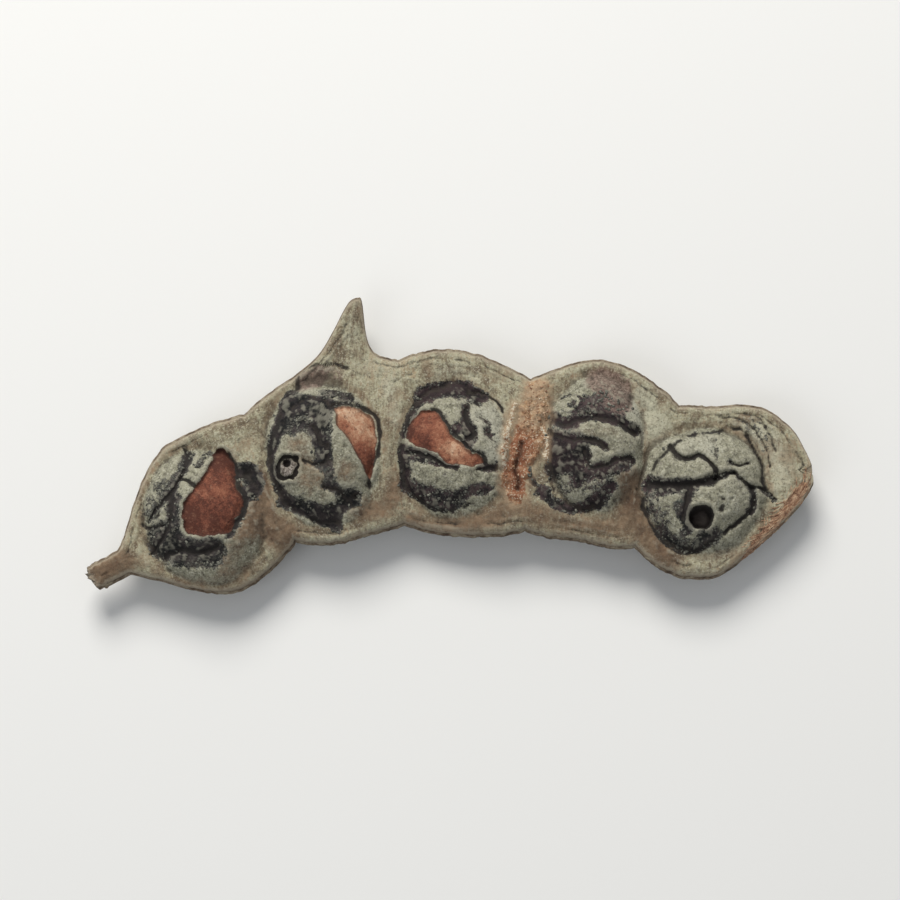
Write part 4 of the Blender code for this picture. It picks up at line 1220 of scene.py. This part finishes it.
# Finish: matt felt, with a faint gloss where the crust is worn, on the pulp and on the gum
FELT_ROUGHNESS = 0.95
BARE_ROUGHNESS = 0.66
BUMP_STRENGTH = 0.8
BUMP_DEPTH = 0.00014
shader.inputs["Sheen Weight"].default_value = 0.03
shader.inputs["Sheen Roughness"].default_value = 0.6
shader.inputs["Specular IOR Level"].default_value = 0.15
bare_mask = n.maths("MAXIMUM", n.maths("MAXIMUM", worn_mask, gum_mask), pulp_mask)
roughness = n.between(bare_mask, 0.0, 1.0, FELT_ROUGHNESS, BARE_ROUGHNESS)
bump_height = n.stirred(0.0, (small, 1.2), (tiny, 0.9), (middling, 0.6), (streaks, 0.5))
bump_height = n.maths("ADD", bump_height, n.maths("MULTIPLY", worn_mask, -0.35))
bump_height = n.maths("ADD", bump_height, n.maths("MULTIPLY", crease_mask, -0.4))
bump = n.add("ShaderNodeBump", {"Height": bump_height, "Strength": BUMP_STRENGTH, "Distance": BUMP_DEPTH})
links = skin_material.node_tree.links
links.new(colour, shader.inputs["Base Color"])
links.new(roughness, shader.inputs["Roughness"])
links.new(bump.outputs["Normal"], shader.inputs["Normal"])
skin_mesh.materials.append(skin_material)

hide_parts("pod")
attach(skin, "root")


# Crust scraps. Grey scraps of the worn crust still cling to the charcoal over the seeds. They are
# flat uneven grains, strewn over the skin by its mask.
GRAIN_MASK_START = 0.1
GRAIN_MASK_FULL = 1.0
GRAIN_WIDTH = 0.7
GRAIN_TILT = 0.25
GRAIN_NOISE_SIZE = 0.00016
FULL_TURN = 6.28
SCRAP_SEED = 5
SCRAP_SIZES = {
    "Density": 0.8e7, "Smallest": 0.00006, "Largest": 0.00026, "Flatness": 0.30, "Unevenness": 0.00016,
}


def new_geometry_tree(name, sizes):
    """An empty tree with a geometry input, one named input for each size, and a geometry output."""
    tree = bpy.data.node_groups.new(name, "GeometryNodeTree")
    tree.interface.new_socket("Geometry", in_out="INPUT", socket_type="NodeSocketGeometry")
    for size in sizes:
        tree.interface.new_socket(size, in_out="INPUT", socket_type="NodeSocketFloat")
    tree.interface.new_socket("Geometry", in_out="OUTPUT", socket_type="NodeSocketGeometry")
    g = Nodes(tree)
    return tree, g, g.add("NodeGroupInput").outputs


def strewn_points(g, sizes, mask, start, full, seed):
    """Random points on the skin where a mask is above its start, most of all where it is full."""
    reader = g.add("GeometryNodeInputNamedAttribute", {"Name": mask}, data_type="FLOAT")
    density = g.add("ShaderNodeMapRange", {
        "Value": reader.outputs["Attribute"], "From Min": start, "From Max": full, "To Min": 0.0,
        "To Max": sizes["Density"],
    }).outputs["Result"]
    return g.add("GeometryNodeDistributePointsOnFaces", {
        "Mesh": sizes["Geometry"], "Density": density, "Seed": seed}).outputs


def random_size(g, low, high, seed):
    return g.add("FunctionNodeRandomValue", {2: low, 3: high, "Seed": seed}, data_type="FLOAT").outputs[1]


def random_turn(g, low, high, seed):
    inputs = {0: low, 1: high, "Seed": seed}
    angles = g.add("FunctionNodeRandomValue", inputs, data_type="FLOAT_VECTOR").outputs[0]
    return g.add("FunctionNodeEulerToRotation", {0: angles}).outputs[0]


def finish_tree(g, instances, unevenness, noise_size, material):
    """Makes the instances real, roughens them, and ends the tree with their material."""
    real = g.add("GeometryNodeRealizeInstances", {"Geometry": instances}).outputs["Geometry"]
    uneven = g.add("ShaderNodeTexNoise", {"Scale": 1.0 / noise_size, "Detail": 2.0}).outputs["Color"]
    centred = g.add("ShaderNodeVectorMath", {0: uneven, 1: (0.5, 0.5, 0.5)}, operation="SUBTRACT")
    offset = g.add("ShaderNodeVectorMath", {
        0: centred.outputs["Vector"], "Scale": unevenness}, operation="SCALE").outputs["Vector"]
    moved = g.add("GeometryNodeSetPosition", {"Geometry": real, "Offset": offset}).outputs["Geometry"]
    smooth = g.add("GeometryNodeSetShadeSmooth", {"Geometry": moved}).outputs["Geometry"]
    painted = g.add("GeometryNodeSetMaterial", {"Geometry": smooth, "Material": material}).outputs["Geometry"]
    g.add("NodeGroupOutput", {"Geometry": painted})


def grow_on_skin(name, tree, sizes):
    """Runs the tree on the skin's mesh and keeps the outcome as a plain mesh of its own."""
    host = bpy.data.objects.new(name, skin_mesh)
    bpy.context.scene.collection.objects.link(host)
    modifier = host.modifiers.new(name, "NODES")
    modifier.node_group = tree
    for socket in tree.interface.items_tree:
        if socket.name in sizes:
            modifier[socket.identifier] = sizes[socket.name]
    evaluated = host.evaluated_get(bpy.context.evaluated_depsgraph_get())
    mesh = bpy.data.meshes.new_from_object(evaluated)
    bpy.data.objects.remove(host)
    mesh.name = name
    piece = bpy.data.objects.new(name, mesh)
    bpy.context.scene.collection.objects.link(piece)
    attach(piece, "root")


def small_piece_material(name, coarse, fine, stirring, stops, roughness, specular=0.5):
    """Uneven colour by two noises, each given by its size, detail, roughness and seed."""
    material, n, shader = new_material(name)
    tone = n.stirred(n.blotches(*coarse), (n.blotches(*fine), stirring))
    material.node_tree.links.new(n.ramp(tone, stops), shader.inputs["Base Color"])
    shader.inputs["Roughness"].default_value = roughness
    shader.inputs["Specular IOR Level"].default_value = specular
    return material


def grain_tree(name, mask, seed, material):
    """Strews flat uneven grains over the skin by one of its masks."""
    tree, g, sizes = new_geometry_tree(name, ("Density", "Smallest", "Largest", "Flatness", "Unevenness"))
    points = strewn_points(g, sizes, mask, GRAIN_MASK_START, GRAIN_MASK_FULL, seed)
    radius = random_size(g, sizes["Smallest"], sizes["Largest"], seed)
    height = g.maths("MULTIPLY", radius, sizes["Flatness"])
    width = g.maths("MULTIPLY", radius, GRAIN_WIDTH)
    scale = g.add("ShaderNodeCombineXYZ", {"X": radius, "Y": width, "Z": height}).outputs["Vector"]
    spin = random_turn(g, (-GRAIN_TILT, -GRAIN_TILT, 0.0), (GRAIN_TILT, GRAIN_TILT, FULL_TURN), seed + 1)
    turned = g.add("FunctionNodeRotateRotation", {
        0: points["Rotation"], 1: spin}, rotation_space="LOCAL").outputs[0]
    grain = g.add("GeometryNodeMeshIcoSphere", {"Radius": 1.0, "Subdivisions": 1}).outputs["Mesh"]
    instances = g.add("GeometryNodeInstanceOnPoints", {
        "Points": points["Points"], "Instance": grain, "Rotation": turned, "Scale": scale,
    }).outputs["Instances"]
    finish_tree(g, instances, sizes["Unevenness"], GRAIN_NOISE_SIZE, material)
    return tree


scrap_material = small_piece_material("crust_scraps", (0.9, 3.0, 0.6, 21.0), (0.15, 3.0, 0.6, 22.0), 0.8, [
    (0.30, (0.025, 0.024, 0.022)), (0.46, (0.070, 0.068, 0.058)), (0.60, (0.160, 0.158, 0.130)),
    (0.76, (0.34, 0.33, 0.27)),
], 0.9, 0.25)
scrap_grains = grain_tree("crust_scraps", "scraps", SCRAP_SEED, scrap_material)
grow_on_skin("crust_scraps", scrap_grains, SCRAP_SIZES)


# Gum crystals. The gum that the pod bled has dried on its scar in small uneven crystals, from dark
# orange-brown to pale. They are strewn as the scraps are, smaller and less flat.
CRYSTAL_SEED = 9
CRYSTAL_SIZES = {
    "Density": 0.8e7, "Smallest": 0.00004, "Largest": 0.00017, "Flatness": 0.6, "Unevenness": 0.00014,
}

crystal_material = small_piece_material("gum_crystals", (0.8, 3.0, 0.6, 25.0), (0.2, 3.0, 0.6, 26.0), 0.8, [
    (0.30, (0.160, 0.062, 0.030)), (0.46, (0.330, 0.185, 0.100)), (0.60, (0.460, 0.320, 0.200)),
    (0.74, (0.68, 0.58, 0.44)),
], 0.42)
crystal_grains = grain_tree("gum_crystals", "crystals", CRYSTAL_SEED, crystal_material)
grow_on_skin("gum_crystals", crystal_grains, CRYSTAL_SIZES)


# Torn fibres. The suture beside the tip is frayed: short woody strands lie along the margin there,
# some of them sprung up a little.
FIBRE_MASK_START = 0.2
FIBRE_MASK_FULL = 0.9
FIBRE_SEED = 13
FIBRE_POINTS = 6
FIBRE_SIDES = 4
FIBRE_UNEVENNESS = 0.00008
FIBRE_NOISE_SIZE = 0.0006
FIBRE_SIZES = {"Density": 2.2e7, "Shortest": 0.0010, "Longest": 0.0030, "Thickness": 0.018, "Arch": 0.10}


def fibre_tree(name, mask, seed, turn, material):
    """Strews arched strands over the skin by one of its masks, all turned about one way."""
    tree, g, sizes = new_geometry_tree(name, ("Density", "Shortest", "Longest", "Thickness", "Arch"))
    points = strewn_points(g, sizes, mask, FIBRE_MASK_START, FIBRE_MASK_FULL, seed)
    line = g.add("GeometryNodeCurvePrimitiveLine", {"Start": (-0.5, 0.0, 0.0), "End": (0.5, 0.0, 0.0)})
    strand = g.add("GeometryNodeResampleCurve", {"Curve": line.outputs["Curve"], "Count": FIBRE_POINTS})
    place = g.add("GeometryNodeInputPosition").outputs["Position"]
    x = g.add("ShaderNodeSeparateXYZ", {"Vector": place}).outputs["X"]
    bend = g.maths("MULTIPLY", x, x)
    drop = g.maths("MULTIPLY", g.maths("MULTIPLY", bend, sizes["Arch"]), -1.0)
    arch = g.add("ShaderNodeCombineXYZ", {"X": 0.0, "Y": bend, "Z": drop}).outputs["Vector"]
    strand = g.add("GeometryNodeSetPosition", {"Geometry": strand.outputs["Curve"], "Offset": arch})
    section = g.add("GeometryNodeCurvePrimitiveCircle", {
        "Resolution": FIBRE_SIDES, "Radius": sizes["Thickness"]})
    strand = g.add("GeometryNodeCurveToMesh", {
        "Curve": strand.outputs["Geometry"], "Profile Curve": section.outputs["Curve"], "Fill Caps": True})
    length = random_size(g, sizes["Shortest"], sizes["Longest"], seed)
    spin = random_turn(g, (-0.10, -0.08, turn - 0.10), (0.10, 0.04, turn + 0.12), seed + 1)
    instances = g.add("GeometryNodeInstanceOnPoints", {
        "Points": points["Points"], "Instance": strand.outputs["Mesh"], "Rotation": spin, "Scale": length,
    }).outputs["Instances"]
    finish_tree(g, instances, FIBRE_UNEVENNESS, FIBRE_NOISE_SIZE, material)
    return tree


fibre_material = small_piece_material("torn_fibres", (0.5, 3.0, 0.6, 31.0), (0.12, 2.0, 0.6, 32.0), 0.6, [
    (0.32, (0.110, 0.048, 0.028)), (0.48, (0.300, 0.170, 0.098)), (0.64, (0.520, 0.380, 0.250)),
], 0.7)
torn_strands = fibre_tree("torn_fibres", "torn", FIBRE_SEED, TORN_WAY, fibre_material)
grow_on_skin("torn_fibres", torn_strands, FIBRE_SIZES)
